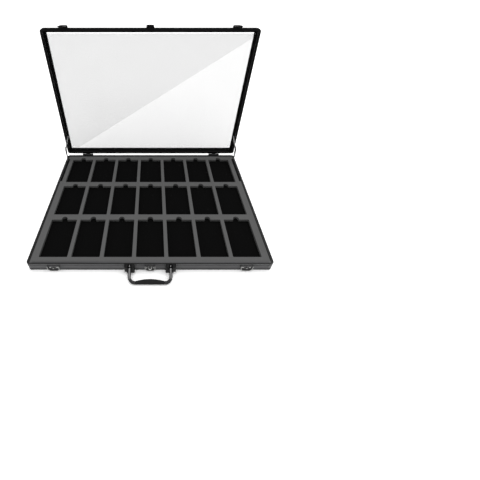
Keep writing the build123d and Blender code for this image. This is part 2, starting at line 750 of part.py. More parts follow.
def grip_core(grow):
    """Core bar between the arms of the bail, grown by a clearance all round."""
    y = HANDLE_PIVOT_Y - HANDLE_REACH
    plane = Plane((-GRIP_L / 2, y, HANDLE_PIVOT_Z), x_dir=(0, 1, 0), z_dir=(1, 0, 0))
    return extrude(plane * Rectangle(CORE_W + 2 * grow, CORE_T + 2 * grow), GRIP_L)


def make_grip():
    """Grip around the core, straight outside and swelling toward the case."""
    bar_y = HANDLE_PIVOT_Y - HANDLE_REACH
    outside = bar_y - BAIL_W / 2
    inside = bar_y + BAIL_W / 2
    half = GRIP_L / 2
    swell = ThreePointArc((half, inside), (0, inside + GRIP_SWELL), (-half, inside))
    sides = Polyline((-half, inside), (-half, outside), (half, outside), (half, inside))
    outline = make_face(sides + swell)
    low = HANDLE_PIVOT_Z - GRIP_T / 2
    grip = extrude(Plane.XY.offset(low) * outline, GRIP_T)
    end_edges = grip.faces().filter_by(Axis.X).edges()
    long_edges = [edge for edge in grip.faces().filter_by(Axis.Z).edges() if edge not in end_edges]
    grip = fillet(long_edges, GRIP_EDGE)
    return handle_turned(grip - grip_core(PIN_FIT))


def make_window():
    """Clear panel in the channel of the closed lid."""
    side = RAIL_W - WINDOW_POCKET + PANEL_FIT
    board = Rectangle(CASE_W - 2 * side, CASE_D - 2 * side)
    low = lid_levels()[1] + PANEL_FIT / 2
    return extrude(Plane.XY.offset(low) * board, WINDOW_T)


def front_rail_holes():
    """Holes for rivets and for the staple in the outer wall of the base's front rail."""
    holes = staple_leg(-1, STAPLE_WIRE_R + PIN_FIT) + staple_leg(1, STAPLE_WIRE_R + PIN_FIT)
    for x, _, z in catch_rivet_places():
        holes += rivet_hole(x, FRONT_Y, FRONT_Y + OUTER_WALL, z)
    for side in SIDES:
        for x, _, z in bracket_rivet_places(side):
            holes += rivet_hole(x, FRONT_Y, FRONT_Y + OUTER_WALL, z)
    return holes


def catch_rivet_places():
    """Rivets of both catches and of the staple plate as (x, seat distance, z)."""
    places = []
    for step in (-1, 1):
        for sign in SIDES.values():
            x = sign * LATCH_X + step * CATCH_RIVET_X
            places.append((x, CATCH_T, LATCH_PIN_Z - STUD_DROP))
        places.append((step * STAPLE_RIVET_X, CATCH_T, LATCH_PIN_Z - STAPLE_RIVET_DROP))
    return places


def back_holes(z):
    """Rivet holes for both hinges in the outer wall of a back rail."""
    holes = Part()
    for side in SIDES.values():
        for x in hinge_rivets(side * HINGE_X):
            holes += rivet_hole(x, BACK_Y - OUTER_WALL, BACK_Y, z)
    return holes


def build_base():
    """Nodes of the base frame and what lies in it."""
    low = CHAMBER_TO_EDGE + LIP_T
    high = BASE_H - CHAMBER_TO_EDGE
    ring = base_ring()
    rails = make_rails(ring, 0, BASE_H, low, high)
    rails["front"] -= front_rail_holes()
    rails["back"] -= back_holes(base_rivet_z())
    nodes = {"base_" + name + "_rail": rail for name, rail in rails.items()}
    for name, corner in make_corners(ring, 0, BASE_H, low, high).items():
        nodes["base_corner_" + name] = corner
    nodes["bottom_panel"] = make_bottom_panel()
    nodes["pocket_floor_foam"] = make_pocket_floor()
    nodes["foam_insert"] = make_foam_insert()
    return nodes


def build_lid():
    """Nodes of the lid frame and its clear panel, open."""
    low = LID_Z + CHAMBER_TO_EDGE / 2
    high = lid_levels()[0] - CHAMBER_TO_EDGE / 4
    ring = lid_ring()
    rails = make_rails(ring, LID_Z, LID_TOP, low, high)
    rails["back"] -= back_holes(lid_rivet_z())
    nodes = {"lid_" + name + "_rail": opened(rail) for name, rail in rails.items()}
    for name, corner in make_corners(ring, LID_Z, LID_TOP, low, high).items():
        nodes["lid_corner_" + name] = opened(corner)
    nodes["lid_window"] = opened(make_window())
    return nodes


def build_hinges():
    """Nodes of both hinges."""
    nodes = {}
    base_rivets = []
    lid_rivets = []
    for side, sign in SIDES.items():
        base_leaf, lid_leaf, pin = make_hinge(side)
        nodes["hinge_base_leaf_" + side] = base_leaf
        nodes["hinge_lid_leaf_" + side] = opened(lid_leaf)
        nodes["hinge_pin_" + side] = pin
        for x in hinge_rivets(sign * HINGE_X):
            base_rivets.append(riveted(x, BACK_Y + LEAF_T, BACK_Y, base_rivet_z(), 1))
            lid_rivets.append(opened(riveted(x, BACK_Y + LEAF_T, BACK_Y, lid_rivet_z(), 1)))
    nodes["hinge_rivets_base"] = group(base_rivets)
    nodes["hinge_rivets_lid"] = group(lid_rivets)
    return nodes


def build_stays():
    """Nodes of both folding stays."""
    nodes = {}
    for side, sign in SIDES.items():
        lower_link, upper_link, elbow_rivet, sleeve = make_stay(side)
        nodes["stay_lower_link_" + side] = lower_link
        nodes["stay_upper_link_" + side] = upper_link
        nodes["stay_elbow_rivet_" + side] = elbow_rivet
        nodes["stay_sleeve_" + side] = sleeve
    nodes["stay_base_studs"] = group([make_base_stud(s) for s in SIDES.values()])
    nodes["stay_lid_studs"] = group([make_lid_stud(s) for s in SIDES.values()])
    return nodes


def build_latches():
    """Nodes of the two side latches and of the hasp, swung a little out."""
    nodes = {}
    for side, sign in SIDES.items():
        x = sign * LATCH_X
        nodes["latch_block_" + side] = opened(latch_block(x, SIDE_BLOCK_W, LEVER_W, SIDE_BLOCK_R))
        nodes["latch_lever_" + side] = opened(make_latch_lever(x).rotate(LATCH_AXIS, -LATCH_REST))
        nodes["latch_pin_" + side] = opened(make_latch_pin(x, SIDE_BLOCK_W))
        nodes["latch_catch_" + side] = make_catch(x)
    nodes["hasp_block"] = opened(latch_block(0, HASP_BLOCK_W, HASP_W, HASP_BLOCK_R))
    nodes["hasp_plate"] = opened(make_hasp().rotate(LATCH_AXIS, -HASP_REST))
    nodes["hasp_pin"] = opened(make_latch_pin(0, HASP_BLOCK_W))
    nodes["staple_plate"] = make_staple_plate()
    nodes["staple_loop"] = make_staple()
    rivets = [riveted(x, FRONT_Y - out, FRONT_Y, z, -1) for x, out, z in catch_rivet_places()]
    nodes["catch_rivets"] = group(rivets)
    return nodes


def build_handle():
    """Nodes of the handle and its brackets."""
    nodes = {}
    rivets = []
    for side in SIDES:
        nodes["handle_bracket_" + side] = make_bracket(side)
        for x, out, z in bracket_rivet_places(side):
            rivets.append(riveted(x, FRONT_Y - out, FRONT_Y, z, -1))
    nodes["handle_bail"] = make_bail()
    nodes["handle_grip"] = make_grip()
    nodes["handle_pins"] = group([make_handle_pin(side) for side in SIDES])
    nodes["bracket_rivets"] = group(rivets)
    return nodes


def main():
    """Build every node and write one STEP file for each."""
    nodes = {}
    for build in (build_base, build_lid, build_hinges, build_stays, build_latches, build_handle):
        nodes.update(build())
    to_origin = Pos(0, -middle_of_open_case(), 0)
    os.makedirs("parts", exist_ok=True)
    for name, shape in nodes.items():
        export_step(to_origin * shape, os.path.join("parts", name + ".step"))
    print("wrote", len(nodes), "nodes")


if __name__ == "__main__":
    main()
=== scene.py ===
import logging
import math
from dataclasses import dataclass, field
from enum import Enum
from typing import Callable, Iterable, Optional, Sequence, Union

import bmesh
import bpy
import numpy as np
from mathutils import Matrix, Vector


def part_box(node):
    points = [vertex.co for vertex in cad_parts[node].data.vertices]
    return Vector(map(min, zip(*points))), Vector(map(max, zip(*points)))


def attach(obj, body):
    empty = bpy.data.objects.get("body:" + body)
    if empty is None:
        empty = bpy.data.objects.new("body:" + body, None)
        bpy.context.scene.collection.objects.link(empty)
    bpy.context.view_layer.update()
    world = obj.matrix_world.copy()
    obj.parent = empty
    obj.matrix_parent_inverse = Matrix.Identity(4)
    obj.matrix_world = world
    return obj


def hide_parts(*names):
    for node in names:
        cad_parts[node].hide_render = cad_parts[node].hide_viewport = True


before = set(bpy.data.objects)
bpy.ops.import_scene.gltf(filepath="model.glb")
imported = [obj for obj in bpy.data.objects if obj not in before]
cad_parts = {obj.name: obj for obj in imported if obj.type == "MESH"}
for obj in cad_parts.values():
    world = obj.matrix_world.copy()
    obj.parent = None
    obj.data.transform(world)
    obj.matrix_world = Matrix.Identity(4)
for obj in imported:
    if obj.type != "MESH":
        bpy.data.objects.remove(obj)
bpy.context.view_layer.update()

MM = 0.001
MERGE_MM = 0.005
CAD_MERGE_MM = 0.004
FLAT_DEG = 1.0
SLIVER_M = 1e-7
SIDES = ("left", "right")
LOG = logging.getLogger("display_case")


class Signal:
    """A socket of a shader node that takes part in arithmetic."""

    def __init__(self, graph: "Graph", socket: bpy.types.NodeSocket) -> None:
        """Keep the graph that new nodes go to and the socket itself."""
        self.graph = graph
        self.socket = socket

    def _math(self, operation: str, first: "Value", second: "Value" = 0.0, clamp: bool = False) -> "Signal":
        """Add one Math node.

        Args:
            operation: the node's operation.
            first: number or signal of the first input.
            second: number or signal of the second input.
            clamp: whether the result is kept between 0 and 1.

        Returns:
            The node's result.
        """
        settings = {"operation": operation, "use_clamp": clamp}
        return self.graph.node("ShaderNodeMath", settings, {0: first, 1: second})

    def __add__(self, other: "Value") -> "Signal":
        """Sum."""
        return self._math("ADD", self, other)

    def __radd__(self, other: "Value") -> "Signal":
        """Sum with a number on the left."""
        return self._math("ADD", other, self)

    def __sub__(self, other: "Value") -> "Signal":
        """Difference."""
        return self._math("SUBTRACT", self, other)

    def __rsub__(self, other: "Value") -> "Signal":
        """Difference from a number on the left."""
        return self._math("SUBTRACT", other, self)

    def __mul__(self, other: "Value") -> "Signal":
        """Product."""
        return self._math("MULTIPLY", self, other)

    def __rmul__(self, other: "Value") -> "Signal":
        """Product with a number on the left."""
        return self._math("MULTIPLY", other, self)

    def __abs__(self) -> "Signal":
        """Distance from zero."""
        return self._math("ABSOLUTE", self)

    def clamped(self) -> "Signal":
        """The same value, kept between 0 and 1."""
        return self._math("ADD", self, 0.0, clamp=True)


Value = Union[float, Sequence[float], Signal]


class Graph:
    """A tree of shader nodes."""

    def __init__(self, tree: bpy.types.NodeTree) -> None:
        """Keep the tree."""
        self.tree = tree

    def node(self, kind: str, settings: Optional[dict] = None, inputs: Optional[dict] = None,
             output: Union[int, str] = 0) -> Signal:
        """Add a node of any type.

        Args:
            kind: the node's type name.
            settings: attributes of the node, set before its inputs.
            inputs: numbers, vectors or signals by socket name or index.
            output: the output that is returned.

        Returns:
            The chosen output as a signal.
        """
        made = self.tree.nodes.new(kind)
        for key, value in (settings or {}).items():
            setattr(made, key, value)
        for key, value in (inputs or {}).items():
            self.feed(made.inputs[key], value)
        return Signal(self, made.outputs[output])

    def feed(self, socket: bpy.types.NodeSocket, value: Value) -> None:
        """Link a signal to a socket, or set its number, colour or vector.

        Args:
            socket: the input.
            value: what it gets.
        """
        if isinstance(value, Signal):
            self.tree.links.new(value.socket, socket)
        elif isinstance(value, (int, float)):
            socket.default_value = float(value)
        elif socket.type == "RGBA" and len(value) == 3:
            socket.default_value = (*value, 1.0)
        else:
            socket.default_value = tuple(value)

    def ray(self, kind: str) -> Signal:
        """An output of a Light Path node: 1 for a ray of that kind, else 0."""
        return self.node("ShaderNodeLightPath", output=kind)


class Coat(Graph):
    """The nodes of one material, with its Principled shader.

    The fine share is how strong each finer octave of its noises is.
    """

    fine_share: float = 0.55

    def __init__(self, name: str) -> None:
        """Make an empty material with a Principled shader and an output.

        Args:
            name: the material's name.
        """
        self.material = bpy.data.materials.new(name)
        self.material.use_nodes = True
        super().__init__(self.material.node_tree)
        self.tree.nodes.clear()
        self.output = self.tree.nodes.new("ShaderNodeOutputMaterial")
        self.shader = self.tree.nodes.new("ShaderNodeBsdfPrincipled")
        self.tree.links.new(self.shader.outputs[0], self.output.inputs[0])

    def principled(self, **inputs: Value) -> None:
        """Set or link sockets of the Principled shader; underscores stand for spaces."""
        for key, value in inputs.items():
            self.feed(self.shader.inputs[key.replace("_", " ")], value)

    def place(self, scale: Sequence[float] = (1.0, 1.0, 1.0)) -> Signal:
        """Object coordinates in metres, scaled along each axis."""
        where = self.node("ShaderNodeTexCoord", output="Object")
        return self.node("ShaderNodeVectorMath", {"operation": "MULTIPLY"}, {0: where, 1: scale})

    def along(self, axis: int) -> Signal:
        """One of the object coordinates, in millimetres."""
        where = self.node("ShaderNodeTexCoord", output="Object")
        return self.node("ShaderNodeSeparateXYZ", None, {0: where}, output=axis) * (1.0 / MM)

    def noise(self, size_mm: float, stretch: Sequence[float] = (1.0, 1.0, 1.0),
              detail: float = 3.0) -> Signal:
        """Noise between 0 and 1.

        Args:
            size_mm: size of its grains in millimetres.
            stretch: how many times longer the grains are along each axis.
            detail: octaves.

        Returns:
            The noise value.
        """
        place = self.place(tuple(1.0 / part for part in stretch))
        inputs = {"Vector": place, "Scale": 1.0 / (size_mm * MM), "Detail": detail,
                  "Roughness": self.fine_share}
        return self.node("ShaderNodeTexNoise", {"noise_dimensions": "3D"}, inputs)

    def cells(self, size_mm: float) -> Signal:
        """Distance to the nearest of scattered points, for closed foam cells."""
        inputs = {"Vector": self.place(), "Scale": 1.0 / (size_mm * MM)}
        return self.node("ShaderNodeTexVoronoi", {"feature": "F1"}, inputs)

    def blend(self, factor: Value, first: Value, second: Value) -> Signal:
        """Mix two colours; the factor is the share of the second."""
        return self.node("ShaderNodeMix", {"data_type": "RGBA"}, {0: factor, 6: first, 7: second}, output=2)

    def bump(self, height: Signal, depth_mm: float, strength: float) -> Signal:
        """Normal of a surface whose relief is depth_mm deep where the height goes from 0 to 1."""
        inputs = {"Height": height, "Distance": depth_mm * MM, "Strength": strength}
        return self.node("ShaderNodeBump", None, inputs)


def tinted(colour: Sequence[float], factor: float) -> tuple:
    """A colour made lighter or darker by a factor."""
    return tuple(min(part * factor, 1.0) for part in colour)


@dataclass(frozen=True)
class Band:
    """A slice of a piece, between two values of one object coordinate, with its own shade."""

    axis: int
    low_mm: float
    high_mm: float
    colour: tuple
    share: float = 1.0
    soft_mm: float = 0.25
    mirrored: bool = False
    where: Optional["Band"] = None

    def mask(self, coat: Coat) -> Signal:
        """How much of the band's colour shows at a point; its edges fade within soft_mm.

        A mirrored band is measured from the middle plane, to both sides, and one with a
        second band shows only inside that one.

        Args:
            coat: the material's nodes.

        Returns:
            A value from 0 to the band's share.
        """
        value = coat.along(self.axis)
        value = abs(value) if self.mirrored else value
        steep = 1.0 / self.soft_mm
        after = ((value - self.low_mm) * steep).clamped()
        inside = after * ((self.high_mm - value) * steep).clamped() * self.share
        return inside * self.where.mask(coat) if self.where else inside


def banded(coat: Coat, colour: Value, bands: Iterable[Band]) -> Value:
    """Lay several bands over a colour, the last on top.

    Args:
        coat: the material's nodes.
        colour: what lies under the bands.
        bands: the bands.

    Returns:
        The colour with its bands.
    """
    for band in bands:
        colour = coat.blend(band.mask(coat), colour, band.colour)
    return colour


class Run(Enum):
    """Direction in which an extrusion was drawn."""

    ALONG_X = (60.0, 1.0, 1.0)
    ALONG_Y = (1.0, 60.0, 1.0)
    ALONG_Z = (1.0, 1.0, 60.0)


@dataclass(frozen=True)
class Finish:
    """What the opaque finishes share: shades of a colour, an uneven shine and a fine relief.

    The roughness is that of the smoothest spots, and dulling is added to it at the dullest.
    """

    name: str
    colour: tuple
    roughness: float = 0.3
    dulling: float = 0.16
    metallic: float = 0.0
    gloss: float = 0.5
    dark: float = 0.8
    light: float = 1.3
    relief_mm: float = 0.03
    relief_strength: float = 0.4

    def shades(self, coat: Coat, pattern: Signal, level: float = 1.0) -> Signal:
        """Go from the colour's dark to its light shade as a pattern goes from 0 to 1.

        Args:
            coat: the material's nodes.
            pattern: a value from 0 to 1.
            level: factor on both shades.

        Returns:
            The colour.
        """
        dark, light = tinted(self.colour, self.dark * level), tinted(self.colour, self.light * level)
        return coat.blend(pattern, dark, light)

    def finished(self, coat: Coat, colour: Value, dull: Signal, relief: Signal) -> bpy.types.Material:
        """Feed the shader and hand over the material.

        Args:
            coat: the material's nodes.
            colour: its colour.
            dull: how dull a spot is, from 0 to 1.
            relief: height of the skin, from 0 to 1.

        Returns:
            The material.
        """
        coat.principled(
            Base_Color=colour,
            Metallic=self.metallic,
            Roughness=(dull * self.dulling + self.roughness).clamped(),
            Specular_IOR_Level=self.gloss,
            Normal=coat.bump(relief, self.relief_mm, self.relief_strength),
        )
        return coat.material


@dataclass(frozen=True)
class AnodisedFinish(Finish):
    """Satin anodised aluminium with fine lines along the extrusion."""

    dulling: float = 0.24
    metallic: float = 0.55
    dark: float = 0.78
    light: float = 1.25
    relief_mm: float = 0.02
    relief_strength: float = 0.5
    line_w_mm: float = 0.5
    cloud_mm: float = 60.0
    wear_mm: float = 3.0
    line_share: float = 0.55

    def material(self, run: Run, bands: Iterable[Band] = ()) -> bpy.types.Material:
        """Build the material for a piece drawn along one direction.

        Args:
            run: the direction of the extrusion's lines.
            bands: slices in other shades, such as painted shade in and beside the grooves.

        Returns:
            The material.
        """
        coat = Coat(f"{self.name}_{run.name.lower()}")
        lines = coat.noise(self.line_w_mm, run.value, detail=2.0)
        cloud = coat.noise(self.cloud_mm, detail=2.0)
        wear = coat.noise(self.wear_mm, detail=4.0)
        mix = (lines * self.line_share + cloud * (1.0 - self.line_share)).clamped()
        colour = banded(coat, self.shades(coat, mix), bands)
        return self.finished(coat, colour, (wear + lines) * 0.5, lines)


@dataclass(frozen=True)
class CastFinish(Finish):
    """Cast or pressed metal under a thin coat, with a faint uneven skin."""

    roughness: float = 0.26
    metallic: float = 0.4
    relief_strength: float = 0.35
    skin_mm: float = 1.4
    cloud_mm: float = 18.0

    def material(self, bands: Iterable[Band] = ()) -> bpy.types.Material:
        """Build the material.

        Args:
            bands: slices in other shades, such as painted shade or a painted highlight.

        Returns:
            The material.
        """
        coat = Coat(self.name)
        skin = coat.noise(self.skin_mm, detail=2.0)
        cloud = coat.noise(self.cloud_mm)
        return self.finished(coat, banded(coat, self.shades(coat, cloud), bands), cloud, skin)


@dataclass(frozen=True)
class PlatedFinish(Finish):
    """Nickel-plated steel with fine rolling lines and a few dull smudges."""

    roughness: float = 0.2
    dulling: float = 0.18
    metallic: float = 1.0
    dark: float = 0.82
    light: float = 1.1
    relief_mm: float = 0.012
    line_w_mm: float = 0.35
    line_stretch: tuple = (1.0, 8.0, 8.0)
    smudge_mm: float = 9.0

    def material(self) -> bpy.types.Material:
        """Build the material.

        Returns:
            The material.
        """
        coat = Coat(self.name)
        lines = coat.noise(self.line_w_mm, self.line_stretch, detail=2.0)
        smudge = coat.noise(self.smudge_mm)
        return self.finished(coat, self.shades(coat, smudge), smudge, lines)


@dataclass(frozen=True)
class FoamFinish(Finish):
    """Closed-cell foam: matt, with fine cells and painted shade that darkens the cut wall."""

    roughness: float = 0.86
    dulling: float = 0.12
    gloss: float = 0.2
    dark: float = 0.84
    light: float = 1.16
    relief_mm: float = 0.16
    relief_strength: float = 0.55
    cell_mm: float = 0.9
    grain_mm: float = 0.45
    cloud_mm: float = 45.0
    grain_share: float = 0.7
    cell_share: float = 0.6
    # Painted shade on the cut walls: its share of the colour, and how softly it sets in.
    painted_wall_shade: float = 0.7
    wall_soft_mm: float = 0.4

    def material(self, wall_level_mm: float) -> bpy.types.Material:
        """Build the material.

        Args:
            wall_level_mm: height below which the colour falls to a darker share of its value, a painted
                shade on the cut walls.

        Returns:
            The material.
        """
        coat = Coat(self.name)
        cell = coat.cells(self.cell_mm)
        grain = coat.noise(self.grain_mm)
        cloud = coat.noise(self.cloud_mm)
        # Painted shade: below the wall level the colour falls to a darker share.
        on_top = ((coat.along(2) - wall_level_mm) * (1.0 / self.wall_soft_mm)).clamped()
        speck = (grain * self.grain_share + cloud * (1.0 - self.grain_share)).clamped()
        colour = coat.blend(on_top, self.shades(coat, speck, self.painted_wall_shade), self.shades(coat, speck))
        skin = cell * self.cell_share + grain * (1.0 - self.cell_share)
        return self.finished(coat, colour, grain, skin)


@dataclass(frozen=True)
class MouldedFinish(Finish):
    """Moulded plastic with a fine spark-eroded grain."""

    roughness: float = 0.38
    dulling: float = 0.14
    gloss: float = 0.35
    relief_mm: float = 0.05
    grain_mm: float = 0.5
    cloud_mm: float = 14.0

    def material(self) -> bpy.types.Material:
        """Build the material.

        Returns:
            The material.
        """
        coat = Coat(self.name)
        grain = coat.noise(self.grain_mm)
        cloud = coat.noise(self.cloud_mm, detail=2.0)
        return self.finished(coat, self.shades(coat, cloud), grain, grain)


@dataclass(frozen=True)
class ClearSheetFinish:
    """Clear acrylic with painted glare, a faint grey veil, less of it beyond a slanting line and none at
    the rim.
    """

    name: str
    colour: tuple
    roughness: float = 0.04
    dulling: float = 0.04
    gloss: float = 0.2
    painted_glare: float = 0.305
    far_share: float = 0.775
    line_drop_mm: float = 16.0
    line_steep: float = 0.3
    rim_mm: float = 1.5
    rim_steep: float = 1.2
    smudge_mm: float = 120.0
    clean_alpha: float = 0.012
    smudge_alpha: float = 0.004

    def material(self, half_w: float, low: float, high: float) -> bpy.types.Material:
        """Build the material for an opening of the upright lid.

        Args:
            half_w: half the opening's width in millimetres.
            low: height of the opening's lower edge.
            high: height of its upper edge.

        Returns:
            The material.
        """
        coat = Coat(self.name)
        x, z = coat.along(0), coat.along(2)
        middle, half_h = (low + high) / 2, (high - low) / 2
        slant = x * (half_h / half_w) + (middle - self.line_drop_mm)
        beyond = ((slant - z) * self.line_steep + 0.5).clamped()
        inside_x = ((half_w - self.rim_mm - abs(x)) * self.rim_steep).clamped()
        inside_z = ((half_h - self.rim_mm - abs(z - middle)) * self.rim_steep).clamped()
        smudge = coat.noise(self.smudge_mm, detail=2.0)
        # Painted glare: a grey veil of alpha over the opening that stands in for a reflection, weaker
        # beyond a slanting line and clear at the rim.
        painted_glare = inside_x * inside_z * (1.0 - beyond * (1.0 - self.far_share)) * self.painted_glare
        coat.principled(
            Base_Color=self.colour,
            Roughness=(smudge * self.dulling + self.roughness).clamped(),
            Specular_IOR_Level=self.gloss,
            Alpha=(painted_glare + self.clean_alpha + smudge * self.smudge_alpha).clamped(),
        )
        return coat.material


# Black of the lid's corners and of the black zinc, and also the colour of the painted shade on the base
# rails.
BLACK_AND_PAINTED_SHADE = (0.0035, 0.0035, 0.0036)
# Colour of painted highlights.
PAINTED_HIGHLIGHT = (0.42, 0.42, 0.41)
# Colour of the painted highlight along the bail's arms.
BAIL_PAINTED_HIGHLIGHT = (0.3, 0.3, 0.3)
BASE_METAL = AnodisedFinish("satin_grey_rail", (0.082, 0.082, 0.084), roughness=0.33)
LID_METAL = AnodisedFinish("satin_black_rail", (0.003, 0.003, 0.0031), metallic=0.0, gloss=0.045)
BASE_CORNER = CastFinish("base_corner", (0.042, 0.042, 0.043), roughness=0.32)
LID_CORNER = CastFinish("lid_corner", BLACK_AND_PAINTED_SHADE, roughness=0.32, metallic=0.0, gloss=0.07)
BLACK_ZINC = CastFinish("black_zinc", BLACK_AND_PAINTED_SHADE, roughness=0.28, metallic=0.0, gloss=0.08)
DARK_ZINC = CastFinish("dark_zinc", (0.005, 0.005, 0.0052), metallic=0.0, gloss=0.09)
CATCH_ZINC = CastFinish("catch_zinc", (0.05, 0.05, 0.051), metallic=0.0, gloss=0.25)
BAIL_ZINC = CastFinish("bail_zinc", (0.032, 0.032, 0.033), roughness=0.22, metallic=0.7)
DARK_STEEL = CastFinish("dark_steel", (0.02, 0.02, 0.021), metallic=0.5)
NICKEL = PlatedFinish("nickel", (0.5, 0.5, 0.49))
BRIGHT_NICKEL = PlatedFinish("bright_nickel", (0.95, 0.95, 0.94))
LINK_NICKEL = PlatedFinish("link_nickel", (0.2, 0.2, 0.2), roughness=0.26)
GRIP_PLASTIC = MouldedFinish("grip_plastic", (0.006, 0.006, 0.0063), gloss=0.16)
BOARD_PLASTIC = MouldedFinish("board_plastic", (0.02, 0.02, 0.02), roughness=0.56, grain_mm=1.2)
TOP_FOAM = FoamFinish("grey_foam", (0.106, 0.106, 0.106))
BED_FOAM = FoamFinish("black_foam", (0.0022, 0.0022, 0.0022), gloss=0.06)
# The grey of the sheet's painted glare.
CLEAR_SHEET = ClearSheetFinish("clear_acrylic", (0.22, 0.22, 0.222))


def middle_of(node: str, axis: int) -> float:
    """Middle of a CAD node's box along one axis, in millimetres."""
    return sum(corner[axis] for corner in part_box(node)) / (2 * MM)


@dataclass(frozen=True)
class CaseSizes:
    """Sizes of the case in millimetres, the same as in the solids."""

    width: float = 727.0
    depth: float = 513.5
    base_h: float = 34.0
    lid_h: float = 22.5
    rim_gap: float = 0.5
    rail_w: float = 8.0
    corner_r: float = 9.0
    corner_len: float = 15.0
    hinge_offset: float = 5.0
    pocket_w: float = 85.0
    pocket_l: float = 138.5
    pocket_depth: float = 10.0
    rib_w: float = 12.0
    bar_w: float = 22.5
    front_border: float = 15.0
    foam_drop: float = 1.5
    notch_w: float = 19.0
    notch_l: float = 12.5
    soft_gap: float = 0.3
    lip_t: float = 1.5
    board_t: float = 3.0
    middle_y: float = field(default_factory=lambda: middle_of("base_left_rail", 1))

    @property
    def lid_z(self) -> float:
        """Height of the closed lid's rim."""
        return self.base_h + self.rim_gap

    @property
    def foam_top(self) -> float:
        """Height of the grey foam's face."""
        return self.base_h - self.foam_drop

    @property
    def hinge(self) -> tuple:
        """Hinge axis as (y, z)."""
        return self.middle_y + self.depth / 2 + self.hinge_offset, self.base_h + self.rim_gap / 2

    @property
    def front_y(self) -> float:
        """Y of the outer front face."""
        return self.middle_y - self.depth / 2

    def centred(self, points: np.ndarray) -> np.ndarray:
        """Move points drawn about the origin to the middle of the base."""
        return points + np.array([0.0, self.middle_y, 0.0])

    def opened(self, points: np.ndarray) -> np.ndarray:
        """Turn points of the closed lid a quarter turn about the hinge pin, to the open rest.

        Args:
            points: an array of points in millimetres.

        Returns:
            The turned points: what was above the pin is behind it, what was in front is above.
        """
        pin_y, pin_z = self.hinge
        turned = points.copy()
        turned[..., 1] = pin_y + points[..., 2] - pin_z
        turned[..., 2] = pin_z - points[..., 1] + pin_y
        return turned


def grid_faces(rows: int, columns: int, wrap_columns: bool) -> np.ndarray:
    """Quads between neighbours of a grid of points, counted row by row.

    Args:
        rows: rows of points.
        columns: points in a row.
        wrap_columns: whether the last column joins the first.

    Returns:
        An array with four point numbers for each quad.
    """
    row, column = np.arange(rows - 1), np.arange(columns if wrap_columns else columns - 1)
    r, c = np.meshgrid(row, column, indexing="ij")
    r2, c2 = r + 1, (c + 1) % columns
    quads = np.stack([r * columns + c, r * columns + c2, r2 * columns + c2, r2 * columns + c], axis=-1)
    return quads.reshape(-1, 4)


def added(name: str, data: bpy.types.ID) -> bpy.types.Object:
    """Make an object and put it into the scene.

    Args:
        name: the object's name.
        data: its mesh, lamp or camera.

    Returns:
        The object.
    """
    made = bpy.data.objects.new(name, data)
    bpy.context.scene.collection.objects.link(made)
    return made


def eased(mesh: bpy.types.Mesh, sharp_deg: float, material: bpy.types.Material) -> None:
    """Shade a mesh smooth up to an angle and give it its one material.

    Args:
        mesh: the mesh.
        sharp_deg: angle in degrees above which an edge is drawn sharp.
        material: the material.
    """
    mesh.shade_smooth()
    mesh.set_sharp_from_angle(angle=math.radians(sharp_deg))
    mesh.materials.clear()
    mesh.materials.append(material)


class Surface:
    """Points in millimetres and faces that together become one piece."""

    def __init__(self) -> None:
        """Start with nothing."""
        self.points: list = []
        self.faces: list = []
        self.count = 0

    def add(self, points: np.ndarray, faces: Iterable[Sequence[int]]) -> "Surface":
        """Add points and the faces between them.

        Args:
            points: an array of points, its last axis x, y and z.
            faces: faces as numbers of these points.

        Returns:
            The surface itself.
        """
        flat = np.asarray(points, dtype=float).reshape(-1, 3)
        self.points.append(flat)
        self.faces.extend([[int(index) + self.count for index in face] for face in faces])
        self.count += len(flat)
        return self

    def grid(self, points: np.ndarray, wrap_columns: bool = False, caps: bool = False) -> "Surface":
        """Add a grid of points and its quads.

        Args:
            points: an array of rows of points.
            wrap_columns: whether the last column joins the first.
            caps: whether the first and last row are closed by one face each.

        Returns:
            The surface itself.
        """
        rows, columns = points.shape[:2]
        faces = grid_faces(rows, columns, wrap_columns).tolist()
        if caps:
            faces.append(list(range(columns))[::-1])
            faces.append([(rows - 1) * columns + index for index in range(columns)])
        return self.add(points, faces)

    def moved(self, change: Callable[[np.ndarray], np.ndarray]) -> "Surface":
        """The same surface with every point changed by one function of the whole array."""
        self.points = [change(part) for part in self.points]
        return self

    def piece(self, name: str, material: bpy.types.Material, sharp_deg: float = 32.0) -> bpy.types.Object:
        """Make the Blender object, its doubles merged and its faces turned outwards.

        Args:
            name: the piece's name.
            material: its material.
            sharp_deg: angle in degrees above which an edge is drawn sharp.

        Returns:
            The object, at the origin.
        """
        mesh = bpy.data.meshes.new(name)
        mesh.from_pydata((np.concatenate(self.points) * MM).tolist(), [], self.faces)
        work = bmesh.new()
        work.from_mesh(mesh)
        bmesh.ops.remove_doubles(work, verts=work.verts, dist=MERGE_MM * MM)
        bmesh.ops.dissolve_degenerate(work, dist=SLIVER_M, edges=work.edges)
        bmesh.ops.recalc_face_normals(work, faces=work.faces)
        work.to_mesh(mesh)
        work.free()
        eased(mesh, sharp_deg, material)
        return added(name, mesh)


def fit(piece: bpy.types.Object, body: str, node: str) -> bpy.types.Object:
    """Let a piece ride on a body and stand for a CAD node.

    Args:
        piece: the object.
        body: the body that it moves with.
        node: the node that it replaces.

    Returns:
        The object.
    """
    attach(piece, body)
    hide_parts(node)
    LOG.info("%s: %d faces on %s", piece.name, len(piece.data.polygons), body)
    return piece


def merged(node: str) -> bpy.types.Mesh:
    """Copy a CAD node's mesh with its points merged and its flat faces made whole.

    Args:
        node: the CAD node.

    Returns:
        The copy.
    """
    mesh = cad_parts[node].data.copy()
    work = bmesh.new()
    work.from_mesh(mesh)
    bmesh.ops.remove_doubles(work, verts=work.verts, dist=CAD_MERGE_MM * MM)
    bmesh.ops.dissolve_limit(work, angle_limit=math.radians(FLAT_DEG), verts=work.verts, edges=work.edges)
    work.to_mesh(mesh)
    work.free()
    return mesh


